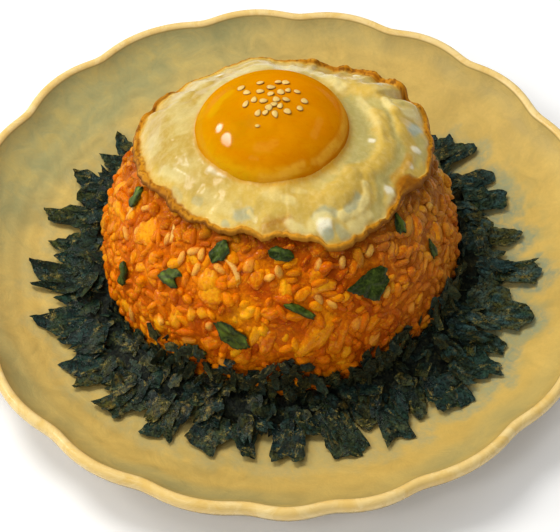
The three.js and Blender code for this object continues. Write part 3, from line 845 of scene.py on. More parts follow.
    # the lowest grains rest on the plate instead of reaching into it
    V[:, :, 2] += np.maximum(0, FLOOR_Z + 0.05 - V[:, :, 2].min(1))[:, None]
    names = ["rice_orange", "rice_amber", "rice_pale"]
    for k in range(3):
        sel = np.where(kind == k)[0]
        if not len(sel):
            continue
        ob = add_mesh(names[k], V[sel].reshape(-1, 3), tile(gf, len(sel), NV), m.m, tint=col[sel].reshape(-1, 3), flip=True)
        pieces.append((ob, "fried_rice", "rice_mound"))
    print("grains", cnt, "of kinds", [(kind == k).sum() for k in range(3)], "triangles", cnt * (seg * (ring - 1) * 2 + 2 * seg))

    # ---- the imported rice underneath, as relief: darker, sauce-soaked
    turns, rows = 264, 92
    aa = np.arange(turns) / turns * 2 * np.pi
    foot = FLOOR_Z + GAP
    prof = [(mound_radius(z) - 0.0, z) for z in np.linspace(foot, WAIST, 12)]
    prof += [(MR * s, mound_height(MR * s)) for s in np.cos(np.linspace(0.02, np.pi / 2 - 0.02, rows - 12))]
    prof = np.array(prof, float)
    P = np.stack([MX + prof[:, :1] * np.cos(aa), MY + prof[:, :1] * np.sin(aa), prof[:, 1:] + 0 * aa], -1)
    flat = P.reshape(-1, 3)
    nn = mound_normal(flat)
    rr = np.hypot(flat[:, 0] - MX, flat[:, 1] - MY)
    an = np.arctan2(flat[:, 1] - MY, flat[:, 0] - MX)
    bare = smooth(egg_radius(an) - 6, egg_radius(an) - 11, rr)
    relief = 0.9 * noise3(flat / 2.6, 41) + 0.5 * noise3(flat / 1.3, 42)
    inset = mix(-0.48, -0.9, bare) + relief * mix(0.42, 0.35, bare)
    flat = flat + nn * inset[:, None]
    flat[:, 2] = np.maximum(flat[:, 2], foot)
    verts = np.concatenate([[[MX, MY, foot]], flat, [[MX, MY, TOP - 1.0]]])
    g = np.clip(0.5 + 0.5 * noise3(verts / 2.6, 41) + 0.3 * noise3(verts / 0.9, 43), 0, 1)[:, None]
    tint = rice_shade(verts, -0.04)[0] * (0.78 + 0.26 * g) * np.array([1.0, 0.90, 0.5])
    m = Mat("fried_rice_core")
    t = m.attr("tint")
    fine = m.noise(1.4, 4, 0.6)
    c = m.mix(m.map(fine, 0.40, 0.62, 0.0, 0.5), t, rgb(150, 58, 0))
    m.color(m.mix(m.map(m.noise(1.1, 4, 0.68, 0.5), 0.54, 0.68, 0.0, 0.50), c, rgb(238, 150, 4)))
    m.rough(0.5)
    m.put("Specular IOR Level", 0.06)
    m.put("Coat Weight", 0.08)
    m.put("Coat Roughness", 0.14)
    m.bump((fine, 0.5))
    ob = add_mesh("rice_core", verts, ring_faces(rows, turns, True, True), m.m, tint=tint, flip=True)
    pieces.append((ob, "fried_rice", "rice_mound"))


def lump_template(seg=16, ring=9):
    th = np.arange(seg) / seg * 2 * np.pi
    ph = (np.arange(ring) + 1) / (ring + 1) * np.pi
    PH, TH = np.meshgrid(ph, th, indexing="ij")
    d = np.stack([-np.cos(PH), np.sin(PH) * np.cos(TH), np.sin(PH) * np.sin(TH)], -1).reshape(-1, 3)
    return np.concatenate([[[-1.0, 0, 0]], d, [[1.0, 0, 0]]]), ring_faces(ring, seg, True, True)


def build_chunks():
    """chopped kimchi: translucent folded bits of leaf and rib, and curved strips"""
    small, big = lump_template(12, 7), lump_template(26, 15)
    V, F, COL, off = [], [[], []], [], 0
    items = [(az, z, w, l, lean, 0.0, k) for az, z, w, l, lean, k in CHUNKS] + list(ARCS)
    for i, (az, z, w, l, lean, bend, kind) in enumerate(items):
        q = np.random.default_rng(500 + i)
        d, f = big if w > 4.1 or bend else small
        w, l = w * 1.08, l * 1.06
        thick = np.clip(0.52 * w, 1.7, 3.4) if bend == 0 else np.clip(0.75 * w, 1.3, 2.4)
        P, n = on_mound(az, z, 0.12 - 0.34 * thick)
        R = screen_frame(n, np.array([lean + q.normal(0, 4)]))[0]
        e = q.uniform(2.2, 3.0)
        p = np.abs(d) ** e
        s = d / np.maximum(p.sum(1), 1e-9)[:, None] ** (1 / e)  # towards a rounded box
        s = s * 0.55 + d * 0.45
        x, y, h = s[:, 0] * l / 2, s[:, 1] * w / 2, s[:, 2] * thick / 2
        # a soft outline: each bit torn its own way
        o = np.arctan2(y / w, x / l)
        out = 1 + 0.10 * np.sin(2 * o + q.uniform(0, 6)) + 0.09 * np.sin(3 * o + q.uniform(0, 6)) + 0.05 * np.sin(5 * o + q.uniform(0, 6))
        x, y = x * out, y * out
        # ribs along the leaf, a fold, a sag with the mound
        wave = np.sin(2 * np.pi * (y + 0.25 * x * math.sin(i) + 0.5 * noise3(np.stack([x, y, h], -1) / 2.6 + i, 63)) / q.uniform(1.9, 2.7) + q.uniform(0, 6))
        rib = (0.17 if w > 4.1 else 0.08) * wave * np.clip(s[:, 2] * 2, -1, 1) * smooth(1.05, 0.6, np.hypot(s[:, 0], s[:, 1]))
        lump = noise3(np.stack([x, y, h], -1) / (0.32 * w + 0.9) + i * 7.1, 60) * 0.17 * thick + 0.16 * noise3(np.stack([x, y, h], -1) / 1.1 + i, 64)
        h = h + rib + lump * np.sign(s[:, 2]) - (x * x + y * y) / (2 * 52.0) * 0.8
        y = y + bend * (x / (l / 2)) ** 2 - bend * 0.5
        loc = np.stack([x, y, h], -1)
        V.append(loc @ R.T + P[0])
        for k in range(2):
            F[k] += [g + off for g in f if g.shape[1] == (4, 3)[k]]
        off += len(loc)
        hot, edge = TINTS[kind]
        g = smooth(0.50, 1.0, np.hypot(s[:, 0], s[:, 1]))
        g = np.clip(g + 0.34 * noise3(loc / 1.4 + i, 61) + 0.20 * noise3(loc * [0.5, 1.6, 1] / 0.9 + i, 62) - 0.26 * wave * (w > 4.1), 0, 1)[:, None]
        c = hot * (1 - g) + edge * g
        local = rice_shade(V[-1])[0]
        m = 0.36 + 0.44 * smooth(0.55, 1.0, np.hypot(s[:, 0], s[:, 1]))[:, None]
        COL.append(c * (1 - m) + local * m)
    m = Mat("kimchi")
    t = m.attr("tint")
    fine = m.noise(1.2, 4, 0.65, 0.8)
    c = m.mix(m.map(fine, 0.48, 0.68, 0.0, 0.50), t, rgb(255, 190, 24))
    m.color(m.mix(m.map(m.noise(0.9, 4, 0.68, 0.6), 0.50, 0.66, 0.0, 0.45), c, rgb(182, 80, 0)))
    m.rough(m.map(fine, 0.3, 0.7, 0.24, 0.40))
    m.put("Specular IOR Level", 0.12)
    m.put("Coat Weight", 0.22)
    m.put("Coat Roughness", 0.09)
    m.sss(0.22, (1.3, 0.6, 0.06), 1.0)
    m.bump((fine, 0.22))
    ob = add_mesh("kimchi_bits", np.concatenate(V), [np.concatenate(k) for k in F if k], m.m, tint=np.concatenate(COL), flip=True)
    pieces.append((ob, "fried_rice", "rice_mound"))


def outline(shape, q):
    """outline of a cut leaf or onion piece, corner to corner"""
    if shape == "tri":  # a torn corner: point at the left, flat right side
        pts = np.array([(-0.36, 1.29), (0.03, 0.76), (0.31, 0.43), (0.75, 0.10), (0.86, -0.33), (0.69, -0.62), (0.31, -0.62), (0.03, -0.71), (-0.42, -0.52), (-1.14, -0.24), (-1.08, 0.14), (-0.81, 0.62), (-0.58, 1.14)])
    elif shape == "heart":
        pts = np.array([(0.95, 0.55), (0.60, 0.34), (0.34, 0.10), (0.62, -0.28), (0.80, -0.72), (0.28, -1.0), (-0.28, -0.72), (-0.95, -0.42), (-0.82, 0.10), (-0.40, 0.56), (-0.20, 0.95), (0.36, 0.98)])
    elif shape == "wedge":
        pts = np.array([(1.0, 0.05), (0.45, 0.42), (0.20, 0.78), (-0.55, 0.95), (-1.0, 0.46), (-0.78, 0.02), (-0.95, -0.42), (-0.30, -0.86), (0.30, -0.50)])
    elif shape == "leaf":
        pts = np.array([(1.12, 0.30), (0.72, 0.52), (0.52, 0.88), (0.02, 0.70), (-0.44, 0.90), (-0.86, 0.48), (-1.08, -0.12), (-0.62, -0.46), (-0.30, -0.90), (0.16, -0.76), (0.46, -0.94), (0.76, -0.42)])
    elif shape == "stem":
        pts = np.array([(1.0, 0.42), (0.80, 0.72), (0.1, 0.58), (-0.5, 0.76), (-1.02, 0.50), (-0.92, 0.04), (-1.04, -0.40), (-0.5, -0.66), (0.2, -0.80), (0.84, -0.62), (1.04, -0.10)])
    elif shape == "bean":
        pts = np.array([(1.0, -0.2), (0.75, 0.55), (0.30, 0.46), (0.0, 0.30), (-0.32, 0.62), (-0.72, 0.88), (-1.0, 0.3), (-0.85, -0.5), (-0.30, -0.72), (0.10, -0.92), (0.65, -0.8)])
    else:
        pts = np.array([(1.0, 0.1), (0.78, 0.62), (0.30, 0.90), (-0.30, 0.78), (-0.82, 0.66), (-1.02, 0.0), (-0.74, -0.60), (-0.20, -0.82), (0.36, -0.92), (0.84, -0.52)])
    pts = pts + q.normal(0, 0.045, pts.shape)
    # resample the closed polygon; corners stay, edges are faintly torn
    loop = np.concatenate([pts, pts[:1]])
    seg = np.hypot(*np.diff(loop, axis=0).T)
    cum = np.concatenate([[0], np.cumsum(seg)])
    u = np.linspace(0, cum[-1], 57)[:-1]
    ring = np.stack([np.interp(u, cum, loop[:, 0]), np.interp(u, cum, loop[:, 1])], -1)
    ring = 0.6 * ring + 0.2 * (np.roll(ring, 1, 0) + np.roll(ring, -1, 0))
    ring = ring * (1 + 0.035 * q.normal(0, 1, (len(ring), 1)))
    area = np.sum(ring[:, 0] * np.roll(ring[:, 1], -1) - np.roll(ring[:, 0], -1) * ring[:, 1])
    return ring if area > 0 else ring[::-1]


def slab(ring, l, w, thick, crown, q, wrinkle=0.25, rows=(0.22, 0.45, 0.66, 0.84, 0.95, 1.0), shrink=0.93):
    """a closed thin piece from an outline: top and underside, domed and wrinkled; local points, faces, edge share"""
    c = ring.mean(0)
    n = len(ring)
    pts, share = [], []
    top = []
    for s in rows:
        p = c + (ring - c) * s
        top.append(p)
    def height(p, s):
        x, y = p[:, 0] * l / 2, p[:, 1] * w / 2
        k = q0 * 3.1
        h = -crown * (y / (w / 2)) ** 2 - crown * 0.35 * (x / (l / 2)) ** 2
        h = h + wrinkle * noise3(np.stack([x / 2.2 + k, y / 1.6, 0 * x], -1), 71) + 0.4 * wrinkle * noise3(np.stack([x / 0.9 + k, y / 0.7, 0 * x], -1), 72)
        return np.stack([x, y, h], -1)
    q0 = q.uniform(0, 50)
    mid_t = height(c[None], 0)
    V = [mid_t + [[0, 0, thick / 2]]]
    share.append(np.zeros(1))
    for s, p in zip(rows, top):
        e = thick / 2 * (1 - max(0, (s - 0.84) / 0.16) ** 2 * 0.45)
        V.append(height(p, s) + [[0, 0, e]])
        share.append(np.full(n, s))
    for s, p in list(zip(rows, top))[::-1]:
        p2 = c + (p - c) * (shrink if s == 1.0 else 1.0)
        e = thick / 2 * (1 - max(0, (s - 0.84) / 0.16) ** 2 * 0.45)
        V.append(height(p2, s) - [[0, 0, e]])
        share.append(np.full(n, s))
    V.append(mid_t - [[0, 0, thick / 2]])
    share.append(np.zeros(1))
    return np.concatenate(V), ring_faces(2 * len(rows), n, True, True), np.concatenate(share)


def build_greens():
    V, F, COL, off = [], [[], []], [], 0
    light = np.array([rgb(122, 144, 40), rgb(98, 124, 30), rgb(146, 156, 50)])
    mid = np.array([rgb(68, 86, 20), rgb(60, 78, 20), rgb(74, 88, 22)])
    dark = np.array([rgb(28, 38, 8), rgb(32, 44, 10), rgb(24, 36, 10)])
    for i, (az, z, w, l, lean, shape) in enumerate(GREENS):
        q = np.random.default_rng(900 + i)
        ring = outline(shape, q)
        P, n = on_mound(az, z, 0.45)
        R = screen_frame(n, np.array([lean]), 0.25)[0]
        thick = 1.3 if shape in ("bean", "stem") else 0.7
        v, f, s = slab(ring, l, w, thick, 0.75 if shape != "stem" else 1.1, q, 0.42)
        # a crease down the leaf
        fold = q.uniform(0.2, 0.55)
        v[:, 2] += fold * np.abs(v[:, 1] - 0.12 * w * math.sin(i)) * (0.55 if shape != "stem" else 0.1)
        V.append(v @ R.T + P[0])
        for k in range(2):
            F[k] += [g + off for g in f if g.shape[1] == (4, 3)[k]]
        off += len(v)
        # brushed along the leaf: pale veins, dark folds
        g = 0.46 + 0.62 * noise3(v * [0.30, 1.0, 1.0] / 0.95 + i * 3, 75) + 0.25 * noise3(v / 0.5 + i, 76) - 0.40 * smooth(0.78, 1.0, s)
        if z > 50 or az > -62:
            g = g - 0.22
        a = smooth(0.0, 0.5, g)[:, None]
        b = smooth(0.5, 1.0, g)[:, None]
        c = dark[i % 3] * (1 - a) + mid[i % 3] * a
        COL.append(c * (1 - b) + light[(i * 2) % 3] * b)
    m = Mat("spring_onion")
    t = m.attr("tint")
    fine = m.noise(0.7, 3, 0.6, 0.3)
    m.color(m.mix(m.map(fine, 0.45, 0.75, 0.0, 0.25), t, rgb(120, 138, 44)))
    m.rough(m.map(fine, 0.3, 0.7, 0.30, 0.50))
    m.put("Specular IOR Level", 0.4)
    m.sss(0.08, (0.4, 0.7, 0.1), 1.0)
    m.bump((fine, 0.16))
    ob = add_mesh("spring_onion", np.concatenate(V), [np.concatenate(k) for k in F if k], m.m, tint=np.concatenate(COL), sharp=50)
    pieces.append((ob, "fried_rice", "rice_mound"))


# ================================================================== fried egg
# brushed places on the white, about the mound's axis: kind, half width, strength, how far raised, points. The 'white'
# marks are painted highlights on raised blisters.
STROKES = [
    ("pale", 2.4, 0.95, 0.3, [(-25.2, 11.6), (-22.8, 17.7), (-19.4, 22.9), (-15.6, 27.6), (-10.7, 31.2), (-4.1, 33.5), (3.5, 34.3), (10.6, 31.9), (15.9, 27.5), (18.8, 23.4)]),
    ("pale", 3.6, 0.55, 0.0, [(-31.7, 17.7), (-29.2, 11.3), (-29.0, 6.7)]),
    ("pale", 2.0, 0.6, 0.0, [(-39.9, 8.7), (-38.8, 5.4), (-39.2, 2.8)]),
    ("pale", 1.6, 0.9, 0.25, [(-35.1, -7.7), (-33.7, -9.5), (-30.2, -12.0), (-29.3, -13.5)]),
    ("white", 0.9, 0.8, 0.2, [(-21.1, -13.0), (-19.0, -14.3), (-16.8, -16.0)]),
    ("pale", 1.7, 0.75, 0.25, [(-22.3, -19.9), (-20.1, -22.4), (-17.2, -24.5), (-14.6, -26.1)]),
    ("pale", 1.8, 0.5, 0.1, [(-4.2, -22.9), (-1.3, -23.5)]),
    ("pale", 1.2, 0.6, 0.15, [(1.6, -24.6), (3.5, -24.8)]),
    ("blue", 1.7, 0.95, -0.15, [(-12.3, -27.6), (-9.4, -27.8)]),
    ("blue", 1.1, 0.6, -0.1, [(-25.7, -20.4), (-24.2, -21.6)]),
    ("blue", 1.5, 0.5, -0.1, [(-32.3, -15.9), (-30.5, -18.5)]),
    ("blue", 0.9, 0.6, -0.1, [(-16.5, -28.9), (-15.9, -29.9)]),
    ("blue", 1.3, 0.65, -0.2, [(10.8, -28.9), (13.7, -27.2), (16.2, -27.5)]),
    ("pale", 0.7, 0.8, 0.15, [(-9.2, -27.6), (-7.3, -29.5)]),
    ("brown", 0.6, 0.5, 0.0, [(-3.8, -31.5), (-0.9, -30.2), (2.9, -29.3)]),
    ("gold", 2.4, 0.55, -0.1, [(-3.4, -32.0), (-0.5, -31.3), (2.4, -30.8)]),
    ("pale", 1.4, 0.8, 0.35, [(2.9, -30.7), (5.8, -32.3), (7.8, -33.1)]),
    ("warm", 2.4, 0.5, 0.1, [(-38.0, -3.2), (-36.2, -2.4), (-32.6, -4.4)]),
    ("warm", 5.0, 0.35, 0.0, [(-27.0, -16.5), (-18.4, -21.3), (-10.0, -24.6)]),
    ("thin", 1.8, 0.5, -0.1, [(1.6, -18.6), (6.7, -17.0), (11.7, -15.4), (15.9, -17.1)]),
    ("thin", 2.4, 0.45, -0.1, [(11.7, -18.9), (15.0, -19.2), (17.5, -17.9)]),
    ("thin", 4.4, 0.95, -0.3, [(23.0, 15.1), (24.6, 7.8), (24.6, -0.2), (23.2, -7.4), (20.8, -11.2)]),
    ("thin", 2.2, 0.85, -0.35, [(28.7, 17.3), (31.4, 15.3), (33.0, 10.7), (34.2, 4.7), (36.4, -0.4), (36.4, -4.8), (33.7, -9.8), (30.5, -13.7), (28.4, -16.8)]),
    ("thin", 2.0, 0.7, -0.2, [(29.6, -17.8), (30.0, -20.2), (28.3, -24.1)]),
    ("warm", 2.6, 0.7, 0.25, [(21.0, 28.1), (24.1, 24.3), (26.8, 21.5)]),
    ("pale", 1.9, 0.75, 0.45, [(25.3, 16.7), (27.0, 14.1), (28.9, 11.0), (30.5, 8.3), (31.4, 5.2)]),
    ("warm", 2.4, 0.85, 0.6, [(30.5, 11.5), (31.9, 7.9), (32.5, 3.3), (33.2, -0.6), (32.2, -5.1), (29.4, -8.6), (25.4, -11.5), (21.5, -13.4)]),
    ("warm", 3.0, 0.7, 0.5, [(21.4, -15.6), (19.5, -18.6), (16.4, -21.3)]),
    ("pale", 1.3, 0.95, 0.55, [(32.9, 18.2), (33.8, 16.1), (35.8, 15.0), (38.2, 14.5), (41.6, 16.8)]),
    ("warm", 2.0, 0.85, 0.45, [(36.1, 13.5), (37.4, 10.7), (37.7, 6.8)]),
    ("pale", 1.3, 0.5, 0.3, [(33.3, 23.1), (35.8, 23.7), (37.4, 22.6)]),
    ("pale", 1.2, 0.85, 0.55, [(25.9, -16.7), (26.4, -18.8), (25.8, -21.2), (24.0, -23.6), (21.7, -25.9), (18.2, -28.0)]),
    ("warm", 1.8, 0.7, 0.4, [(26.5, -13.2), (27.7, -15.6), (27.6, -18.7)]),
    ("blue", 1.1, 0.70, -0.3, [(23.3, -20.7), (22.1, -23.6), (20.2, -25.7)]),
    ("blue", 1.3, 0.60, -0.3, [(17.1, -31.0), (19.0, -32.1), (20.5, -32.7)]),
    ("blue", 1.9, 1.0, -0.3, [(41.2, 8.5), (42.6, 11.5)]),
    ("thin", 2.0, 0.85, -0.1, [(44.0, 6.5), (44.5, 2.1), (43.2, -3.0)]),
    ("thin", 1.4, 0.6, -0.1, [(35.6, 19.5), (38.0, 18.8)]),
    ("white", 1.45, 1.0, 0.45, [(32.9, -15.1), (33.4, -15.2)]),
    ("white", 1.2, 0.85, 0.35, [(41.7, 1.8), (42.4, 2.1)]),
    ("white", 0.8, 0.95, 0.45, [(39.7, -4.7), (40.0, -5.2)]),
    ("white", 0.9, 0.9, 0.2, [(27.7, -0.4), (28.2, -0.5)]),
    ("pale", 1.2, 0.75, 0.4, [(25.2, -25.9), (26.8, -24.3)]),
    ("pale", 1.6, 0.8, 0.3, [(21.7, -29.9), (23.2, -28.8), (24.4, -27.8)]),
    ("pale", 1.4, 0.75, 0.3, [(33.2, -18.5), (34.4, -16.5)]),
    ("warm", 1.6, 0.7, 0.3, [(38.6, -7.7), (41.0, -8.2), (44.0, -5.0), (44.7, -1.7)]),
    ("toast", 1.2, 0.85, 0.1, [(34.5, -11.0), (36.2, -8.8), (38.7, -5.4), (39.6, -2.5)]),
    ("brown", 1.4, 1.0, 0.35, [(36.1, -12.5), (37.3, -10.5), (40.2, -9.1), (42.7, -8.7)]),
    ("brown", 1.6, 0.95, 0.0, [(36.2, -14.7), (37.7, -13.0), (40.1, -11.2), (42.3, -9.2)]),
    ("brown", 1.1, 0.8, 0.0, [(36.0, -15.9), (34.4, -18.4), (33.1, -21.1)]),
    ("char", 0.45, 0.75, 0.0, [(35.6, -13.9), (36.9, -11.9), (39.6, -10.3), (42.6, -9.2)]),
    ("char", 0.4, 0.6, 0.0, [(36.2, -15.4), (38.6, -12.9), (41.6, -10.6)]),
    ("pale", 1.8, 0.7, 0.6, [(9.9, -31.1), (11.6, -30.0), (14.1, -29.4)]),
    ("white", 1.5, 1.0, 0.30, [(12.6, -31.0), (14.1, -31.0)]),
    ("blue", 1.2, 0.8, 0.3, [(13.7, -33.0), (14.9, -32.6)]),
    # the far side, out of sight from the front: the same kinds of marks
    ("pale", 2.2, 0.6, 0.3, [(-33.0, 22.0), (-28.0, 27.0), (-22.0, 31.0)]),
    ("thin", 1.6, 0.45, -0.15, [(-24.0, 34.5), (-16.0, 38.0), (-9.0, 39.5)]),
    ("white", 1.1, 0.8, 0.5, [(-20.0, 34.0), (-19.0, 34.5)]),
    ("white", 0.9, 0.8, 0.4, [(24.0, 32.0), (24.8, 31.4)]),
    ("blue", 1.4, 0.5, -0.2, [(28.5, 28.0), (31.0, 26.0)]),
]
EGG_TINT = {
    "cream": (221, 190, 95), "cream2": (212, 175, 76), "warm": (219, 181, 76), "pale": (239, 218, 142), "white": (255, 247, 214),
    "thin": (190, 176, 104), "blue": (164, 172, 142), "gold": (194, 128, 18), "brown": (156, 90, 8), "char": (108, 60, 6), "toast": (214, 160, 52), "under": (160, 98, 18),
}


def brushed(x, y, pts, width, wob):
    """1 on a line of points, falling to 0 a little beyond the half width"""
    best = np.full(len(x), 1e9)
    pts = np.asarray(pts, float)
    for a, b in zip(pts[:-1], pts[1:]):
        d = b - a
        t = np.clip(((x - a[0]) * d[0] + (y - a[1]) * d[1]) / max(d @ d, 1e-6), 0, 1)
        best = np.minimum(best, np.hypot(x - a[0] - t * d[0], y - a[1] - t * d[1]))
    return smooth(1.45, 0.45, best / width + wob)


# the crisp edge, measured round the mound's axis: angle, radius, how far it stands off the mound's own curve
EDGE = [
    (-178.6, 44.3, 0.97), (-176.2, 44, 0.92), (-173, 43.3, 0.86), (-170.4, 42.8, 0.81), (-167, 41.9, 0.74), (-163.8, 40.8, 0.68),
    (-160.4, 39.8, 0.62), (-156.8, 39.05, 0.56), (-154, 38.85, 0.52), (-151.6, 38.95, 0.48), (-148.8, 38.9, 0.45), (-146.6, 38.7, 0.44),
    (-144.4, 38.15, 0.44), (-142.2, 38.15, 0.44), (-139.4, 37.95, 0.43), (-136.6, 37.5, 0.43), (-134.2, 36.95, 0.42), (-131.8, 36.3, 0.42),
    (-129.6, 35.6, 0.42), (-128, 35.85, 0.41), (-125.8, 36.15, 0.41), (-123.2, 35.95, 0.41), (-119.8, 35.9, 0.4), (-117.2, 35.75, 0.4),
    (-114.8, 35.55, 0.4), (-112.4, 35, 0.4), (-110.4, 34.05, 0.4), (-107.4, 33.8, 0.4), (-104.2, 33.95, 0.4), (-102, 34.4, 0.4), (-98.8, 34.95, 0.4),
    (-95.8, 35.05, 0.4), (-94, 34.2, 0.4), (-92, 33.55, 0.4), (-90, 33.65, 0.4), (-88, 33.9, 0.4), (-85, 34.25, 0.4), (-82.2, 34.65, 0.4),
    (-79.4, 35.05, 0.4), (-76.6, 35.45, 0.4), (-73.8, 36.1, 0.4), (-71.8, 36.95, 0.4), (-70.2, 37.7, 0.4), (-68.6, 38.8, 0.4), (-66, 39.35, 0.4),
    (-63.4, 39.65, 0.4), (-60.6, 39.85, 0.4), (-57.6, 39.9, 0.41), (-54.4, 39.85, 0.41), (-51.8, 40.05, 0.42), (-49.4, 39.9, 0.43),
    (-47.2, 39.65, 0.43), (-44.6, 40, 0.44), (-42.4, 40.15, 0.44), (-39.8, 40.2, 0.45), (-37.2, 40.4, 0.46), (-34.8, 40.65, 0.46),
    (-32.2, 40.65, 0.47), (-30.2, 40.5, 0.47), (-27.4, 40.4, 0.48), (-25, 40.1, 0.49), (-22.6, 40.1, 0.49), (-19.6, 40.7, 0.49), (-17.2, 41.5, 0.46),
    (-15.4, 42.45, 0.44), (-13.2, 43.45, 0.41), (-11, 44.4, 0.38), (-8.6, 45.1, 0.35), (-6.8, 45.8, 0.32), (-5, 46.5, 0.3), (-2.8, 46.95, 0.25),
    (-0, 47.15, 0.18), (2.6, 47.3, 0.12), (5.4, 47.95, 0.06), (8.4, 48.85, 0.01), (12, 49.65, 0.13), (13.4, 49.45, 0.18), (15.2, 49.25, 0.24),
    (18, 50, -0.2), (21.5, 51, 0.4), (23.6, 51.37, 1.45), (24.8, 51.29, 2), (26, 51.16, 2.75), (27.6, 50.9, 2.3), (30, 50.4, 0.3),
    (32.2, 49.87, -1.45), (33.6, 49.52, -1.25), (34.2, 49.37, 0.45), (34.8, 49.22, 2.35), (36.2, 48.89, 2.9), (38, 48.5, 2.75), (39.8, 48.14, 2.25),
    (42, 47.75, 0.85), (43.8, 47.45, -0.6), (45.6, 47.16, -0.95), (47, 46.94, -0.1), (48.4, 46.71, 0.55), (50.4, 46.36, 0.1), (53, 45.89, -0.7),
    (55.4, 45.44, -1.25), (58, 44.96, -1.9), (59.2, 44.75, -1.35), (60.6, 44.51, -0.55), (62.2, 44.27, -0.5), (64, 44.02, -1.15), (65.6, 43.82, -1.8),
    (67.4, 43.62, -1.6), (70, 43.37, -0.7), (72.6, 43.12, 0.05), (73.4, 43.05, 0.9), (74.8, 42.93, 1.55), (76.6, 42.76, 1.5), (78.2, 42.63, 1.05),
    (80, 42.49, 1.15), (82.2, 42.35, 0.9), (84.8, 42.26, 1), (87.4, 42.25, 0.7), (90, 42.33, 0.8), (92.2, 42.45, 1.15), (95.2, 42.66, 2.05),
    (97.8, 42.83, 2.7), (100.4, 42.97, 3.05), (103, 43.07, 3.35), (105.2, 43.14, 3.1), (107.4, 43.22, 2.95), (109.6, 43.35, 2.6),
    (111.8, 43.54, 2.55), (114.4, 43.88, 2.65), (116.2, 44.18, 1.9), (118.6, 44.66, 1.65), (121.2, 45.22, 1.6), (123.6, 45.73, 1.6),
    (125.6, 46.11, 1.7), (127.4, 46.4, 2.2), (129.6, 46.68, 2.55), (131.6, 46.87, 2.35), (133.4, 47.01, 1.85), (135, 47.13, 1.75),
    (136.4, 47.24, 1.75), (138.4, 47.43, 3.15), (140.8, 47.74, 4.05), (143.2, 48.17, 4.65), (144.6, 48.46, 4.75), (146, 48.77, 4.45),
    (146.6, 48.91, 3.2), (147.6, 49.13, 2.8), (149, 49.44, 3.3), (151, 49.82, 4.4), (152.6, 50.05, 4.6), (154.2, 50.17, 3.7), (156, 50.17, 3.15),
    (160, 49.6, 2.3), (164, 48.7, 1.95), (167.8, 47.7, 1.65), (172.2, 46.6, 1.39), (175.2, 45.9, 1.24), (178.2, 44.95, 1.09),
]
# width of the fried band in from the edge: angle, mm
BAND = [
    (-179.8, 2.64), (-174.8, 2.74), (-170.8, 2.38), (-166.4, 1.64), (-162.6, 2.05), (-157.6, 2.37), (-152.8, 2.1), (-148.6, 2.38), (-143.6, 1.85),
    (-139.2, 2.17), (-133.2, 1.73), (-128.4, 1.14), (-124.6, 1.41), (-119.8, 1.15), (-115.8, 1.38), (-111.4, 1.82), (-106, 1.37), (-101.2, 1.09),
    (-96.2, 1.39), (-92.2, 1.26), (-88, 1.3), (-84.8, 1.33), (-79.8, 1.49), (-76, 1.29), (-72.8, 1.47), (-69.8, 1.87), (-67.8, 1.42), (-65.2, 1.39),
    (-61.2, 1.51), (-58.2, 1.44), (-54.2, 1.17), (-50.2, 1.2), (-47.8, 1.52), (-44, 1.74), (-39.8, 1.1), (-36.4, 1.08), (-33.2, 1.7), (-30, 1.84),
    (-26.6, 1.1), (-23, 1.35), (-19, 3.6), (-15.4, 4.55), (-12.4, 4), (-11.4, 2.6), (-10.4, 1.57), (-7, 1.02), (-3.2, 1.37), (1.2, 1.67), (6, 1.83),
    (10.8, 2.1), (15, 2.2), (25, 2.3), (40, 2.4), (52, 2.3), (62, 2.0), (72, 1.6), (82, 1.1), (90, 0.9), (105, 0.8), (122, 0.8), (138, 1.0), (148, 1.6), (155, 2.3), (163.6, 2.5), (170, 2.6),
    (175.6, 2.92),
]
# how much of the standing edge is curled up within the band: angle, mm
CURL = [
    (-180, 1.1), (-165, 0.8), (-140, 0.6), (-60, 0.6), (-20, 0.8), (0, 1.0), (14, 1.5), (25, 2.4), (40, 3.1), (50, 2.7), (58, 1.8), (63, 2.5), (68, 1.4), (76, 2.2), (85, 1.4),
    (95, 1.1), (112, 1.2), (126, 1.3), (136, 1.6), (142, 2.6), (150, 3.0), (156, 2.5), (165, 1.9), (174, 1.3),
]


def table(a, rows, col=1):
    t = np.array(sorted(rows), float)
    return np.interp(np.degrees(np.asarray(a)), t[:, 0], t[:, col], period=360)


def egg_edge(a):
    """outline of the white with its crisp little scallops"""
    c = np.stack([np.cos(a), np.sin(a), 0 * a], -1)
    far = smooth(0.25, 0.6, np.sin(a))
    return table(a, EDGE) + 0.30 * noise3(c * 19.0, 82) + far * 0.5 * noise3(c * 11.0, 81) + 0.14 * noise3(c * 44.0, 83)


def egg_wave(a, edge_mm):
    """the edge stands off the rice, curls up within its fried band and ripples"""
    c = np.stack([np.cos(a), np.sin(a), 0 * a], -1)
    curl = table(a, CURL)
    lift = table(a, EDGE, 2) - curl
    w = table(a, BAND)
    z = lift * smooth(15.0, 3.0, edge_mm) + curl * np.power(smooth(np.maximum(w, 1.6) * 1.15, 0.1, edge_mm), 1.1)
    return z + smooth(4.0, 0.0, edge_mm) * (0.22 * noise3(c * 12.0 + 5, 88) + 0.16 * noise3(c * 26.0 + 5, 89))


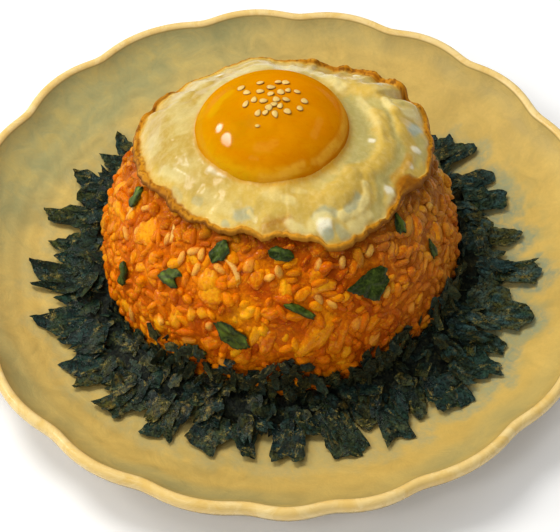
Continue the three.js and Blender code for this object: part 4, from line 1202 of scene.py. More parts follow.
def egg_surface(x, y, r, a, share, edge_mm):
    """height of the white's top"""
    z = egg_under(r, a) + egg_thickness(share, a)
    p = np.stack([x, y, 0 * x], -1)
    mid = smooth(0.45, 0.62, share) * (1 - smooth(0.94, 1.0, share))
    z = z + 0.45 * mid * noise3(p / 9.0, 84) + 0.42 * mid * noise3(p / 4.2, 85) + 0.17 * mid * noise3(p / 1.9, 86)
    dy = np.hypot(x - YX, y - YY)
    wob = 0.22 * noise3(p / 2.2, 87)
    for kind, width, k, lift, pts in STROKES:
        if lift:
            z = z + lift * brushed(x - MX, y - MY, pts, width * 1.15, wob)
    # crisp edge: waves up and down, a thin raised rim with blisters
    z = z + egg_wave(a, edge_mm)
    w = table(a, BAND)
    z = z - 0.22 * np.exp(-(((edge_mm - w - 0.3) / 0.7) ** 2))
    z = z + 0.42 * smooth(np.maximum(w, 1.3) * 1.1, w * 0.5, edge_mm) * (np.abs(noise3(p / 0.9, 91)) - 0.2)
    # a meniscus where the white climbs the yolk
    return z + mix(1.5, 0.7, smooth(0, 12, y - YY)) * np.exp(-np.maximum(dy - YR + 0.3, 0) / 0.9) * smooth(YR - 2.5, YR - 0.3, dy)


def build_egg():
    turns = 640
    a = np.arange(turns) / turns * 2 * np.pi
    s_top = np.concatenate([np.linspace(0.16, 0.42, 10), np.linspace(0.42, 0.88, 52)[1:], np.linspace(0.88, 0.985, 22)[1:], [0.990, 0.9945, 0.998]])
    s_bot = [1.0, 0.996, 0.985, 0.96, 0.93, 0.89, 0.84, 0.78, 0.7, 0.58, 0.4, 0.16]
    edge = egg_edge(a)
    rows, edge_all, side = [], [], []
    for s in s_top:
        r = s * edge
        x, y = MX + r * np.cos(a), MY + r * np.sin(a)
        em = (1 - s) * edge
        z = egg_surface(x, y, r, a, np.full(turns, s), em)
        lip = math.sqrt(max(0.0, 1 - max(0, (s - 0.972) / 0.028) ** 2))
        under = egg_under(r, a) + egg_wave(a, em)
        z = mix(under + 0.45, z, lip)
        rows.append(np.stack([x, y, z], -1)); edge_all.append(em); side.append(np.ones(turns))
    for s in s_bot:
        r = s * edge
        x, y = MX + r * np.cos(a), MY + r * np.sin(a)
        em = (1 - s) * edge
        z = egg_under(r, a) + egg_wave(a, em) + 0.2 * noise3(np.stack([x, y, 0 * x], -1) / 3, 93)
        z = z + (0.35 if s == 1.0 else 0.12 if s > 0.99 else 0.0)
        rows.append(np.stack([x, y, z], -1)); edge_all.append(em); side.append(np.full(turns, 0.35 if s == 1.0 else 0.0))
    top0 = egg_top(np.array([MX]), np.array([MY]))[0]
    bot0 = egg_under(np.array([0.0]), np.array([0.0]))[0]
    V = np.concatenate([[[MX, MY, top0]], np.concatenate(rows), [[MX, MY, bot0]]])
    em = np.concatenate([[40], np.concatenate(edge_all), [40]])
    up = np.concatenate([[1], np.concatenate(side), [0]])
    x, y = V[:, 0], V[:, 1]
    p = np.stack([x, y, 0 * x], -1)
    an = np.arctan2(y - MY, x - MX)
    c3 = np.stack([np.cos(an), np.sin(an), 0 * an], -1)
    T = {k: rgb(*v) for k, v in EGG_TINT.items()}
    g = np.clip(0.5 + 0.6 * noise3(p / 8.0, 94) + 0.35 * noise3(p / 2.8, 95), 0, 1)[:, None]
    col = T["cream"] * (1 - g) + T["cream2"] * g
    h = smooth(0.1, 0.8, noise3(p * [1.0, 1.8, 1] / 4.2 + 40, 96))[:, None]
    col = col * (1 - 0.4 * h) + T["pale"] * 0.4 * h
    wob = 0.26 * noise3(p / 2.0, 97) + 0.16 * noise3(p / 0.8, 98)
    for kind, width, k, lift, pts in STROKES:
        m = (k * brushed(x - MX, y - MY, pts, width, wob))[:, None]
        col = col * (1 - m) + T[kind] * m
    # the clear ring of thin white round the yolk, warm with what shines through
    dyk = np.hypot(x - YX, y - YY)
    m = (smooth(YR + 3.4, YR + 0.2, dyk) * (0.25 + 0.30 * around(an, -60, 90)))[:, None]
    col = col * (1 - m) + rgb(222, 174, 62) * m
    m = (smooth(YR + 1.1, YR + 0.1, dyk) * 0.8)[:, None]
    col = col * (1 - m) + rgb(232, 166, 34) * m
    # fried edge: gold, then brown, with a dark hair line
    jag = 0.45 * noise3(c3 * 14.0, 101) + 0.35 * noise3(p / 1.2, 102) + 0.2 * noise3(p / 0.5, 103)
    w = table(an, BAND)
    t = em / w + 0.16 * jag
    along = np.stack([12.0 * np.cos(an), 12.0 * np.sin(an), em * 1.9], -1)
    streak = smooth(0.0, 0.7, noise3(along, 120) + 0.5 * noise3(along * 2.3, 121))
    pale = smooth(0.25, 0.8, noise3(along * 1.4 + 9, 122))
    band = T["gold"] * (1 - 0.75 * streak[:, None]) + T["brown"] * 0.75 * streak[:, None]
    band = band * (1 - 0.5 * pale[:, None]) + T["toast"] * 0.5 * pale[:, None]
    crisp = 0.75 * smooth(0.22, 0.62, noise3(p / 0.62, 124) + 0.4 * noise3(along * 1.7 + 4, 125))[:, None]
    band = band * (1 - crisp) + T["char"] * crisp
    band = band * (1 - 0.40 * around(an, -155, 22)[:, None]) + T["brown"] * 0.40 * around(an, -155, 22)[:, None]
    band = band * (1 - 0.62 * around(an, -86, 50)[:, None]) + rgb(222, 156, 44) * 0.62 * around(an, -86, 50)[:, None]
    band = band * (1 - 0.75 * around(an, -15, 10)[:, None]) + T["brown"] * 0.75 * around(an, -15, 10)[:, None]
    m = (smooth(1.75, 1.0, t) * 0.45)[:, None]
    col = col * (1 - m) + T["toast"] * m
    m = smooth(1.25, 0.78, t)[:, None]
    col = col * (1 - m) + band * m
    m = (np.exp(-(((t - 1.0) / 0.12) ** 2)) * 0.45 * smooth(0.0, 0.5, noise3(c3 * 9.0, 123)))[:, None]
    col = col * (1 - m) + rgb(150, 90, 14) * m
    m = (smooth(0.50, 0.16, em + 0.16 * jag) * (0.9 - 0.5 * around(an, -86, 50)))[:, None]
    col = col * (1 - m) + (T["brown"] * 0.5 + T["char"] * 0.5) * m
    # painted shade: the white darker over its left side, where the lamps fall strongest, and a little darker at the far
    # side
    col = col * (1 - 0.27 * around(an, 178, 100)[:, None] * smooth(2, 7, em)[:, None]) * (1 - 0.16 * around(an, 92, 70)[:, None] * smooth(0.6, 2, em)[:, None])
    m = ((1 - up) * 0.75)[:, None]
    under = T["under"] * (1 - smooth(1.6, 0.3, em)[:, None]) + T["char"] * 1.3 * smooth(1.6, 0.3, em)[:, None]
    col = col * (1 - m) + under * m

    m = Mat("egg_white_fried")
    t = m.attr("tint")
    fine = m.noise(1.6, 4, 0.6, 0.4)
    brownness = m.attr("fried", "Fac")
    brush = m.noise(0.9, 3, 0.62, 0.6, coord=m.stretch(1.0, 1.9, 1.0))
    c = m.mix(m.math("MULTIPLY", m.map(fine, 0.42, 0.75, 0.0, 0.20), m.map(brownness, 0.0, 0.7, 1.0, 0.0)), t, rgb(250, 234, 176))
    c = m.mix(m.math("MULTIPLY", m.map(brush, 0.50, 0.30, 0.0, 0.22), m.map(brownness, 0.0, 0.7, 1.0, 0.3)), c, rgb(196, 156, 62))
    m.color(c)
    m.rough(m.mix(brownness, m.map(fine, 0.3, 0.7, 0.28, 0.42), 0.62))
    m.put("Specular IOR Level", 0.18)
    m.put("Coat Weight", m.map(brownness, 0.0, 1.0, 0.30, 0.0))
    m.put("Coat Roughness", 0.12)
    m.sss(0.05, (1.2, 0.9, 0.4), 1.0)
    m.bump((fine, 0.12), (m.noise(0.55, 2, 0.6), 0.035))
    faces = ring_faces(len(rows), turns, True, True)
    ob = add_mesh("egg_white_fried", V, faces, m.m, tint=col, values={"fried": smooth(1.5, 0.8, em / table(an, BAND))}, flip=False)
    pieces.append((ob, "egg_white", "egg_white"))

    # ---- yolk: a full dome under its skin, a film of white round its foot
    turns = 240
    a = np.arange(turns) / turns * 2 * np.pi
    shares = np.sin(np.linspace(0.02, np.pi / 2, 90)[1:])
    shares = np.concatenate([shares[:-1], [0.9995]])
    rows, sh = [], []
    for s in shares:
        rad = YR * (1 + 0.006 * np.sin(2 * a + 1) + 0.005 * np.sin(3 * a)) * s
        x, y = YX + rad * np.cos(a), YY + rad * np.sin(a)
        z = egg_top(x, y) + 0.15 + (YH + 0.25) * np.power(max(0.0, 1 - s**2.2), 0.52)
        rows.append(np.stack([x, y, z], -1)); sh.append(np.full(turns, s))
    for s in (0.97, 0.8):
        x, y = YX + YR * s * np.cos(a), YY + YR * s * np.sin(a)
        rows.append(np.stack([x, y, egg_top(x, y) - 0.3], -1)); sh.append(np.full(turns, s))
    top0 = egg_top(np.array([YX]), np.array([YY]))[0]
    V = np.concatenate([[[YX, YY, top0 + 0.15 + YH + 0.25]], np.concatenate(rows), [[YX, YY, top0 - 0.3]]])
    s = np.concatenate([[0], np.concatenate(sh), [0.8]])
    an = np.arctan2(V[:, 1] - YY, V[:, 0] - YX)
    p = V.copy()
    x, y = V[:, 0] - YX, V[:, 1] - YY
    # painted light and shade: the tone runs across the yolk with the light, the 'light' tone on its left, toward the
    # lamps, the 'dark' tone on its right
    lit = np.clip(0.52 - 0.5 * (x * 0.75 + y * 0.05) / YR + 0.14 * noise3(p / 7.0, 105) + 0.05 * noise3(p * [0.4, 1.4, 1] / 1.6, 112), 0, 1)[:, None]
    col = rgb(*YOLK["dark"]) * (1 - lit) + rgb(*YOLK["light"]) * lit
    wob = 0.25 * noise3(p / 2.4, 109) + 0.12 * noise3(p / 0.9, 113)
    for kind, width, k, pts in YOLK_STROKES:
        m = (k * brushed(x, y, pts, width, wob))[:, None]
        col = col * (1 - m) + rgb(*YOLK[kind]) * m
    rim = smooth(0.80, 0.965, s + 0.03 * noise3(p / 2.0, 106))
    right = around(an, -22, 80)
    left = around(an, 195, 95)
    # painted light: a brighter rim round the left and front left of the yolk
    m = (rim * (0.25 + 0.35 * around(an, -125, 60)) * left)[:, None]
    col = col * (1 - m) + rgb(*YOLK["bright"]) * m
    # a film of white over the foot at the right, edged with two thin orange lines
    film = smooth(0.885, 0.91, s + 0.012 * noise3(p / 3.0, 107)) * (1 - smooth(0.965, 0.98, s)) * right
    m = np.clip(film * (0.30 + 0.75 * noise3(p * [0.5, 0.5, 1] / 1.8, 108) + 0.3 * noise3(p / 0.9, 116)), 0, 0.7)[:, None]
    col = col * (1 - m) + rgb(*YOLK["film"]) * m
    line = (np.exp(-(((s - 0.878) / 0.014) ** 2)) * 0.55 * right + smooth(0.972, 0.985, s) * (0.25 + 0.6 * right))[:, None]
    line = np.clip(line * (1 - 0.9 * around(an, -115, 42)[:, None]), 0, 1)
    col = col * (1 - line) + rgb(*YOLK["line"]) * line
    # the skin is wet and tight where it bulges to the left, dull near its foot
    wet = 0.30 + 0.70 * smooth(10.5, 6.0, np.hypot(x + 14.0, y + 9.0))
    wet = wet * (1 - smooth(2.0, 11.0, y)) * (1 - 0.92 * smooth(0.70, 0.88, s)) * (1 - 0.7 * smooth(6.0, 14.0, -y) * smooth(-12, -4, x))
    m = Mat("egg_yolk_skin")
    t = m.attr("tint")
    slow = m.noise(6, 3, 0.55, 0.8)
    c = m.mix(m.map(slow, 0.4, 0.7, 0.0, 0.26), t, rgb(232, 156, 6))
    m.color(m.mix(m.map(m.noise(1.6, 4, 0.65, 0.8, coord=m.stretch(0.7, 1.6, 1.0)), 0.50, 0.70, 0.0, 0.30), c, rgb(206, 104, 0)))
    m.rough(0.35)
    m.put("Specular IOR Level", 0.0)
    m.put("Coat Weight", m.attr("wet", "Fac"))
    m.put("Coat Roughness", 0.07)
    m.sss(0.06, (1.6, 0.7, 0.02), 1.0)
    m.bump((m.noise(2.4, 3, 0.5, 0.3), 0.03))
    ob = add_mesh("egg_yolk_dome", V, ring_faces(len(rows), turns, True, True), m.m, tint=col, values={"wet": wet}, flip=False)
    pieces.append((ob, "egg_yolk", "egg_yolk"))


YOLK = {
    "light": (188, 130, 0), "dark": (230, 132, 0), "bright": (206, 154, 6), "film": (240, 176, 52), "soft": (230, 152, 44), "painted_shade": (212, 110, 0), "line": (210, 120, 4), "rim": (232, 166, 18),
}
# marks on the yolk, about its middle: kind, half width, strength, points. The 'bright' marks are painted highlights, a
# smear at the upper left and a line low at the left; the 'soft' marks are painted soft reflections; the 'painted_shade'
# mark is a darker band low in front, partly the yolk's own deeper colour and partly painted shade.
YOLK_STROKES = [
    ("bright", 1.5, 0.75, [(-18.1, -0.6), (-17.1, 1.7), (-15.4, 3.9), (-12.9, 5.9)]),
    ("bright", 1.0, 0.45, [(-21.7, 1.6), (-20.8, 6.7)]),
    ("painted_shade", 2.0, 0.28, [(-15.1, -14.9), (-9.6, -18.7), (-3.3, -20.7), (2.9, -20.5), (9.1, -17.6)]),
    ("rim", 1.5, 0.65, [(-16.8, -16.2), (-11.5, -20.2), (-5.8, -22.3), (0.5, -22.9), (7.0, -21.6)]),
    ("film", 0.9, 0.55, [(2.9, -22.7), (4.9, -21.7), (7.4, -20.4), (9.5, -19.1)]),
    ("film", 1.1, 0.6, [(14.6, -17.1), (15.8, -15.1), (17.5, -12.9), (19.7, -10.2)]),
    ("film", 1.7, 0.50, [(20.6, -10.4), (22.2, -5.2), (22.8, 0.6), (22.0, 6.4), (19.8, 11.2)]),
    ("soft", 1.0, 0.35, [(12.5, -11.7), (13.7, -8.7), (14.6, -5.6)]),
    ("soft", 1.4, 0.3, [(-4.2, -16.2), (-0.9, -16.4), (0.8, -15.3)]),
    ("film", 0.8, 0.5, [(-3.4, -22.9), (-0.0, -23.3), (4.1, -22.6)]),
    ("bright", 0.9, 0.45, [(-19.4, -12.8), (-16.0, -16.9), (-11.7, -20.1), (-7.5, -22.0)]),
]


# sesame seeds on the yolk: place about the yolk's middle
SEEDS = [
    (-9.3, 7.3), (-7.5, 4.3), (-3.5, 8.4), (-3.5, 4.0), (-0.2, 5.7), (-0.3, 2.6), (1.9, 8.5), (4.2, 8.4), (4.9, 4.5), (2.7, 3.4), (7.6, 4.2), (-5.3, 0.6), (-7.8, -0.7),
    (-2.5, -0.3), (1.4, 0.1), (4.3, 0.2), (9.8, 0.5), (-0.8, -3.0), (0.7, -1.8), (2.5, -2.4), (8.4, -2.7), (-4.1, -4.8), (-1.9, -4.9), (1.0, -5.6), (4.7, -4.4), (-4.2, -9.2),
]
SEED_TURN = [20, -25, 5, -5, 0, 0, 70, -15, 60, -30, -35, 80, 35, 0, -20, -10, -20, 60, 25, 75, -30, 60, 40, -70, -35, 0]


def yolk_z(x, y):
    s = np.minimum(np.hypot(x - YX, y - YY) / YR, 1)
    return egg_top(x, y) + 0.15 + (YH + 0.25) * np.power(np.maximum(0, 1 - s**2.2), 0.52)


def build_seeds():
    d, f = lump_template(20, 13)
    V, COL = [], []
    for i, (sx, sy) in enumerate(SEEDS):
        q = np.random.default_rng(1300 + i)
        x, y = YX + sx, YY - 1.0 + sy
        e = 0.05
        g = np.array([-(yolk_z(x + e, y) - yolk_z(x - e, y)) / (2 * e), -(yolk_z(x, y + e) - yolk_z(x, y - e)) / (2 * e), 1.0])
        n = unit(g)
        n = unit(n + q.normal(0, 0.10, 3))
        t = math.radians(SEED_TURN[i] + q.normal(0, 6))
        R = frames(n[None], np.array([[math.cos(t), math.sin(t), 0.0]]))[0]
        k = 0.62 if i == len(SEEDS) - 1 else q.uniform(0.88, 1.06)
        l, w, h = 2.7 * k * q.uniform(0.86, 1.06), 1.95 * k * q.uniform(0.86, 1.10), 0.85 * k
        u = d[:, 0]
        drop = 1 - q.uniform(0.08, 0.34) * u - 0.10 * u * u  # blunt at one end, pointed at the other
        loc = np.stack([u * l / 2, d[:, 1] * w / 2 * drop, d[:, 2] * h / 2 * (0.8 + 0.2 * drop)], -1)
        loc[:, 2] += 0.05 * noise3(loc / 0.5 + i, 110)
        V.append(loc @ R.T + [x, y, yolk_z(x, y) + 0.26])
        # painted shade: each seed darker brown toward its underside and its ends, where it meets the yolk
        c = np.clip(0.10 + 0.5 * smooth(0.6, 1.0, np.abs(u)) + 0.9 * smooth(0.55, -0.1, d[:, 2]) + 0.2 * noise3(loc / 0.6 + i, 111), 0, 1)[:, None]
        COL.append(rgb(238, 205, 118) * (1 - c) + rgb(150, 82, 8) * c)
    m = Mat("sesame")
    t = m.attr("tint")
    fine = m.noise(0.35, 3, 0.6)
    m.color(m.mix(m.map(fine, 0.4, 0.7, 0.0, 0.22), t, rgb(214, 160, 76)))
    m.rough(m.map(fine, 0.3, 0.7, 0.35, 0.5))
    m.bump((fine, 0.03))
    ob = add_mesh("sesame_seeds", np.concatenate(V), tile(f, len(V), len(d)), m.m, tint=np.concatenate(COL), flip=True)
    pieces.append((ob, "egg_yolk", "egg_yolk"))


# ================================================================== seaweed
def plate_top(r):
    return np.interp(r, [0, 61, 67, 73, 79, 84, 88.5, 92.5], [FLOOR_Z, 5.7, 6.15, 7.0, 8.2, 9.5, 10.9, 12.5])


def weed_top(share, a):
    crown = 9.0 + 1.6 * np.sin(6 * a + 0.8) + 1.3 * np.sin(11 * a + 2.2)
    return crown * np.interp(share, [0, 0.2, 0.42, 0.66, 0.86, 1.0], [1.0, 1.02, 0.95, 0.62, 0.36, 0.16])


# the broad torn ends that lie out on the plate: corners of the free edge, from one inner corner round to the other
LOBES = [
    [(-51.7, 42), (-56, 44.3), (-56.6, 46.7), (-57.6, 49.5), (-57.9, 52), (-57.4, 54.8), (-55.8, 54.1), (-53.8, 52), (-52.2, 49.4), (-50.2, 43)],
    [(-52.2, 42), (-55.4, 44), (-58.6, 44.7), (-61.3, 44.8), (-62.9, 45.2), (-61.6, 42.7), (-61.1, 40.2), (-60.3, 38.6), (-58.6, 37.5), (-57.7, 35.6), (-55, 31.2)],
    [(-55.8, 33), (-58.4, 35.1), (-60.5, 35.1), (-62.1, 34.1), (-63.8, 33.9), (-65.2, 35), (-66.4, 37.4), (-67.7, 37.4), (-69.7, 36.5), (-71.3, 36.2), (-70.5, 33.8), (-69.4, 31.9), (-68.3, 30.1), (-67.1, 28.2), (-60.1, 25.7)],
    [(-59.7, 30.1), (-67.2, 29.4), (-68.4, 29.1), (-69, 26.4), (-69.2, 23.9), (-68.2, 23.1), (-66.7, 22), (-65.1, 22.4), (-63.6, 20.9), (-59.1, 19.7)],
    [(-59.8, 21.4), (-64.3, 21.2), (-68, 20.6), (-70.7, 20.7), (-71.4, 22.1), (-72.6, 20.4), (-75.2, 19.1), (-77.5, 19.4), (-79.8, 19.5), (-78.6, 17.2), (-77.8, 14.5), (-76.1, 13.7), (-73.5, 13.9), (-71.2, 14.5), (-70.5, 13), (-69.1, 11.9), (-67.7, 11.6), (-66.5, 9), (-61, 7.5)],
    [(-61.2, 10.1), (-67.5, 9.3), (-69.2, 10), (-70.5, 9), (-72, 7.3), (-74.3, 7.4), (-77.5, 6.3), (-76.3, 4.1), (-74.9, 2.7), (-73.2, 1.9), (-71.1, 0.8), (-61.1, -1)],
    [(-62.6, 1.5), (-72.5, 1.5), (-74.4, 0.6), (-74.9, -0.3), (-73.6, -1.8), (-72.2, -2.9), (-69.4, -4.3), (-62.7, -6.2)],
    [(-62.2, -3.6), (-69.4, -4.7), (-72.8, -4.2), (-75.7, -3.6), (-77.7, -2.5), (-80, -2.4), (-82.5, -3), (-81.8, -5), (-80.5, -7.6), (-79.4, -9.5), (-77.8, -11.6), (-61.6, -12.8)],
    [(-61.9, -8.6), (-77.3, -10.9), (-79.8, -11.8), (-81.6, -12.6), (-80.6, -14), (-78.4, -14), (-76.1, -14.3), (-73.6, -13.7), (-71.4, -13.1), (-69.5, -12.5), (-67.2, -12.2), (-60.8, -15.2)],
    [(-60.9, -13.6), (-67.1, -14.3), (-69.4, -14.4), (-70.6, -16), (-71.1, -16.9), (-72.7, -17.3), (-73.6, -18.1), (-72.2, -18.7), (-70.6, -19.3), (-69.6, -20.3), (-68.7, -22), (-60.2, -23.5)],
    [(-59.8, -20.2), (-70, -22.2), (-72.3, -22.3), (-74.7, -22.9), (-74, -24.5), (-76.4, -25.4), (-78.5, -26), (-80.3, -26.8), (-79, -27.8), (-77.5, -30), (-75.6, -30.7), (-73.6, -32.3), (-71.6, -33.6), (-70.2, -34.5), (-58.3, -33.2)],
    [(-59.2, -30), (-70.9, -33.7), (-71.2, -34.8), (-69.2, -36.4), (-67.7, -35.4), (-65.9, -34.9), (-64, -35.5), (-62.5, -37.2), (-56.7, -38)],
    [(-56.9, -35.5), (-63.1, -38.1), (-64, -38.9), (-64.8, -40.7), (-65.9, -42.3), (-67.7, -43.2), (-70, -44.6), (-69, -46), (-67.4, -47), (-66, -48), (-64.4, -49.2), (-62.7, -50.2), (-54.9, -46.1)],
    [(-55, -44.4), (-63.4, -49.1), (-64.2, -51.6), (-64.9, -53.8), (-64, -54.3), (-61.9, -53.7), (-59.5, -53.2), (-57.5, -51.9), (-56, -51.3), (-53.4, -52.4), (-49.8, -48.9)],
    [(-49.8, -48.1), (-52.4, -52.7), (-50.8, -54.3), (-52.6, -55.5), (-54, -56.9), (-54.8, -58), (-54.7, -59.3), (-56.6, -59.3), (-58.7, -59.6), (-57.4, -60.7), (-55.8, -61.4), (-54.8, -62.5), (-52.9, -62.7), (-45.1, -55.1)],
    [(-48.3, -52.9), (-53.3, -62.1), (-52, -63.8), (-51.5, -65.7), (-50.1, -65.3), (-48.6, -63.9), (-47.2, -62.4), (-46.1, -61.5), (-44.8, -62.4), (-43.5, -62.7), (-41.8, -61.3), (-39.9, -61.4), (-38.9, -56.3)],
    [(-40.1, -56.4), (-39.3, -61.7), (-40.5, -63.1), (-41.9, -64.2), (-41, -65.4), (-39.3, -66.3), (-34.9, -61.8)],
    [(-37.5, -59.5), (-39.3, -66.9), (-41.1, -67.9), (-42.6, -68.7), (-43.6, -69.6), (-43, -71.3), (-40.9, -71.7), (-38.5, -71.9), (-37.3, -72), (-36.4, -70.8), (-31.8, -62.4)],
    [(-35, -61), (-36.7, -70), (-36.1, -71.5), (-35.1, -73.1), (-34.1, -74), (-33.3, -72.5), (-32.8, -69.6), (-32, -68.3), (-30.6, -65.7), (-28.8, -64.2), (-27.6, -60.6)],
    [(-25.7, -62.1), (-24.7, -66.1), (-25.3, -67.1), (-26.2, -68.3), (-28, -69.9), (-29.7, -71.4), (-28.5, -72.6), (-26.9, -74.1), (-25.1, -74.9), (-23.5, -76.9), (-21.9, -78.5), (-20.7, -78.6), (-20.5, -76.7), (-20.2, -75.7), (-18.7, -74.6), (-17.2, -73.3), (-15.4, -72.2), (-15.8, -65.1)],
    [(-15.2, -66.7), (-15.1, -71.8), (-14.5, -73.2), (-13.6, -75.3), (-12.6, -77.7), (-11.7, -78.9), (-9.9, -79.5), (-8, -79.9), (-7.8, -78.8), (-8.7, -77.2), (-8.6, -74.3), (-7.8, -72), (-6.6, -66.5)],
    [(-3, -66.5), (-3, -72), (-2.7, -73.4), (-2.3, -75.5), (-2.9, -77.1), (-3.5, -78.4), (-3.2, -80.9), (-1.7, -80.4), (0.1, -79.2), (1.9, -78.3), (2.8, -79.2), (3.4, -80.9), (4.3, -81.5), (5.2, -80.9), (6.7, -80.1), (6.7, -78.4), (6.1, -77.2), (6.4, -75.5), (7.3, -74.5), (6.8, -66.5)],
    [(11.7, -64.2), (12, -70.9), (12.9, -72.4), (13.7, -74.9), (14.9, -76.9), (16, -79.3), (18.1, -78.7), (20.6, -78.2), (23, -78.5), (24.5, -78), (23.9, -76.5), (25.5, -75.3), (27, -74.6), (26.2, -72.9), (24.4, -70.7), (22.4, -69), (21.5, -66.8), (20.4, -61.3)],
    [(21.1, -58.9), (21.9, -64.4), (23.4, -65.8), (25.2, -67.9), (26.7, -68.6), (27.6, -66.8), (28.9, -65.4), (27.9, -58.3)],
    [(27.8, -59.1), (29.2, -66.2), (30, -68.6), (31.1, -71.5), (31.6, -73.6), (32.1, -75.8), (32.8, -73.7), (33.8, -72.3), (36, -71), (37.7, -72), (39.5, -71.8), (41.1, -71.5), (39.7, -69.7), (38.9, -66.7), (38.5, -62.9), (38.3, -59.5), (36.1, -54.6)],
    [(36.7, -54.6), (38.9, -60.3), (40.2, -61), (40.9, -63.5), (42.1, -64.9), (43.6, -64.6), (44.6, -62.6), (44.8, -59.7), (44.9, -57.8), (42.4, -51.7)],
    [(44.2, -52.6), (45.5, -58.3), (46.1, -58.2), (47.3, -59.9), (48.1, -61.7), (49.5, -62.7), (50.8, -62), (51.4, -61.4), (53.6, -61.1), (55, -61.5), (52.4, -49.9)],
    [(51.1, -51.5), (55, -61), (57.3, -59.9), (59.5, -58.5), (59.1, -56.7), (57.7, -54.4), (56.2, -53.2), (54.4, -47.6)],
    [(54.2, -50.9), (58.7, -49.3), (60.6, -49.3), (61.7, -50.5), (63.9, -50.2), (64.6, -48.8), (66.8, -48.6), (69.1, -49.6), (68.7, -47.6), (67.9, -46.2), (69.5, -45.6), (67.8, -44), (65.8, -42.5), (64.7, -40.6), (63.8, -39), (57, -37.2)],
    [(56.8, -40.5), (64.1, -39.1), (66.4, -39.2), (68.1, -40.3), (69.6, -40.9), (70.1, -38.9), (71.2, -37), (70.8, -35.2), (69.3, -33.7), (67.5, -33), (65.6, -33), (59.3, -31.6)],
    [(60, -30.8), (66.2, -28.9), (68.2, -28.1), (70.7, -28.6), (72.5, -29.1), (74, -30.6), (75.3, -32.6), (76.1, -30.6), (77.8, -29.9), (79.7, -29.2), (80.2, -26.8), (79.5, -24), (78.2, -21.7), (76.1, -20.4), (74.3, -19.3), (73.9, -17.1), (73.7, -14.9), (72.6, -13.9), (70.3, -13.4), (63.1, -12.9)],
    [(63, -15.4), (70.4, -11.3), (72.9, -9.9), (74.4, -10.6), (76.3, -11.5), (78.2, -11), (80, -11.8), (80.6, -13.2), (82.1, -13.1), (83, -11.1), (84, -9.7), (84.8, -7.8), (83.4, -6.1), (82.3, -4.2), (84.3, -3.6), (81.8, -3), (79.8, -4.1), (76.6, -3.3), (74.5, -2.3), (71.5, -1.3), (64.7, -0.4)],
    [(63.3, -1.1), (70.3, -0.3), (73.1, 0.4), (73.8, 1.6), (71.3, 2.5), (68.3, 3.3), (63.7, 4.8)],
    [(63.5, 1.4), (71.1, 5.1), (72.1, 4.8), (74, 3.9), (75.6, 4.4), (77, 5.5), (79, 6.2), (79.8, 8.2), (79.3, 9.7), (77.5, 10.9), (75.5, 11), (73.8, 10.5), (71.8, 10.3), (70.2, 11.1), (63.7, 14.2)],
    [(63.3, 9.1), (69.9, 11.2), (69.8, 14.4), (68.6, 16.2), (66.7, 16.9), (65.4, 18.5), (62.1, 20.4)],
    [(61.9, 16.9), (66.8, 19.6), (69.5, 19.6), (71.9, 20.1), (74.5, 19.7), (75.5, 20.4), (76, 22.4), (75.8, 24.1), (76, 26.2), (75, 27.2), (73.4, 27.5), (70, 27.7), (61.4, 30.8)],
    [(61.1, 26.5), (70, 27.9), (68.9, 30.2), (71, 31), (72.7, 32.2), (73.1, 33.4), (72.3, 35.6), (71.3, 36.6), (69.7, 37.3), (68, 37.5), (66.6, 36.5), (65.2, 35.4), (63.1, 34.8), (61, 33.5), (57.5, 34.6)],
    [(56.7, 31.1), (57.6, 33.9), (57.8, 36.7), (57.6, 38.8), (59.1, 40.8), (61.2, 41.9), (62.9, 42.9), (65, 43.9), (66.8, 45.3), (67.5, 46.6), (66.3, 48.2), (64.6, 48.9), (62.2, 49.5), (60.2, 49.6), (59.6, 51.8), (58.5, 53.8), (57.3, 52.5), (55.2, 52.3), (54, 50.9), (50.6, 46.4)],
]
# how far in the plate shows between them: angle and radius
NOTCHES = [
    (-176.9, 69), (-172.4, 72.3), (-169.2, 68.2), (-163.5, 72.6), (-150, 72.4), (-142.4, 80.9), (-135.3, 74.2), (-130.4, 76.2), (-123.3, 72.9), (-119.6, 76.6), (-114.6, 70), (-110.6, 70.4), (-102.2, 72.9), (-96.3, 71.9), (-92.4, 71.1), (-84.3, 73.9), (-80.3, 69.7), (-70.9, 66.2), (-65.8, 70.6), (-56.5, 70.2), (-51.7, 73), (-47.6, 81.8), (-42.8, 76.8), (-31, 74.6), (-26.2, 73.2), (-23.1, 72.1), (-10.3, 71.6), (-0.6, 71.7), (4.3, 71), (9.6, 71), (16.4, 69), (22.5, 75.6), (29.1, 70.3), (31.5, 67.7), (139.5, 68.5), (141.6, 71.7), (148.9, 68.3), (155.7, 71.6), (161.1, 67.7), (170.8, 68.2), (178.5, 72),
]
# how high the seaweed leans on the rice: angle about the mound, height
LEAN = [
    (-180, 12.5), (-166, 12.5), (-146.7, 13.6), (-140.8, 15.9), (-135.9, 13.9), (-131.3, 16.7), (-129.3, 22.1), (-127.1, 17.7), (-123.3, 20),
    (-121.2, 24), (-116.2, 27.8), (-113.8, 23.1), (-111.3, 16.9), (-108.1, 16.3), (-106.8, 19.8), (-103.6, 21.2), (-99.2, 20.5), (-95.8, 20.6),
    (-94.6, 24.6), (-92.5, 22.6), (-90, 25.6), (-87, 24.7), (-84.5, 25.3), (-82.4, 22.5), (-80.2, 20.4), (-77.7, 17.9), (-75.2, 19), (-72.3, 19),
    (-69.1, 18), (-65.4, 19.6), (-63.9, 23.3), (-60.4, 23.1), (-56.4, 20.7), (-55.1, 24.3), (-51.9, 24.3), (-46.1, 20.8), (-43.2, 14.2), (-39, 12.9),
    (-36.1, 20.2), (-33.2, 24.3), (-27.9, 23.6), (-10, 15), (8, 14.5), (22, 13), (40, 14.5), (60, 12), (80, 13.5), (104, 12), (120, 14), (140, 12),
    (160, 13.5),
]


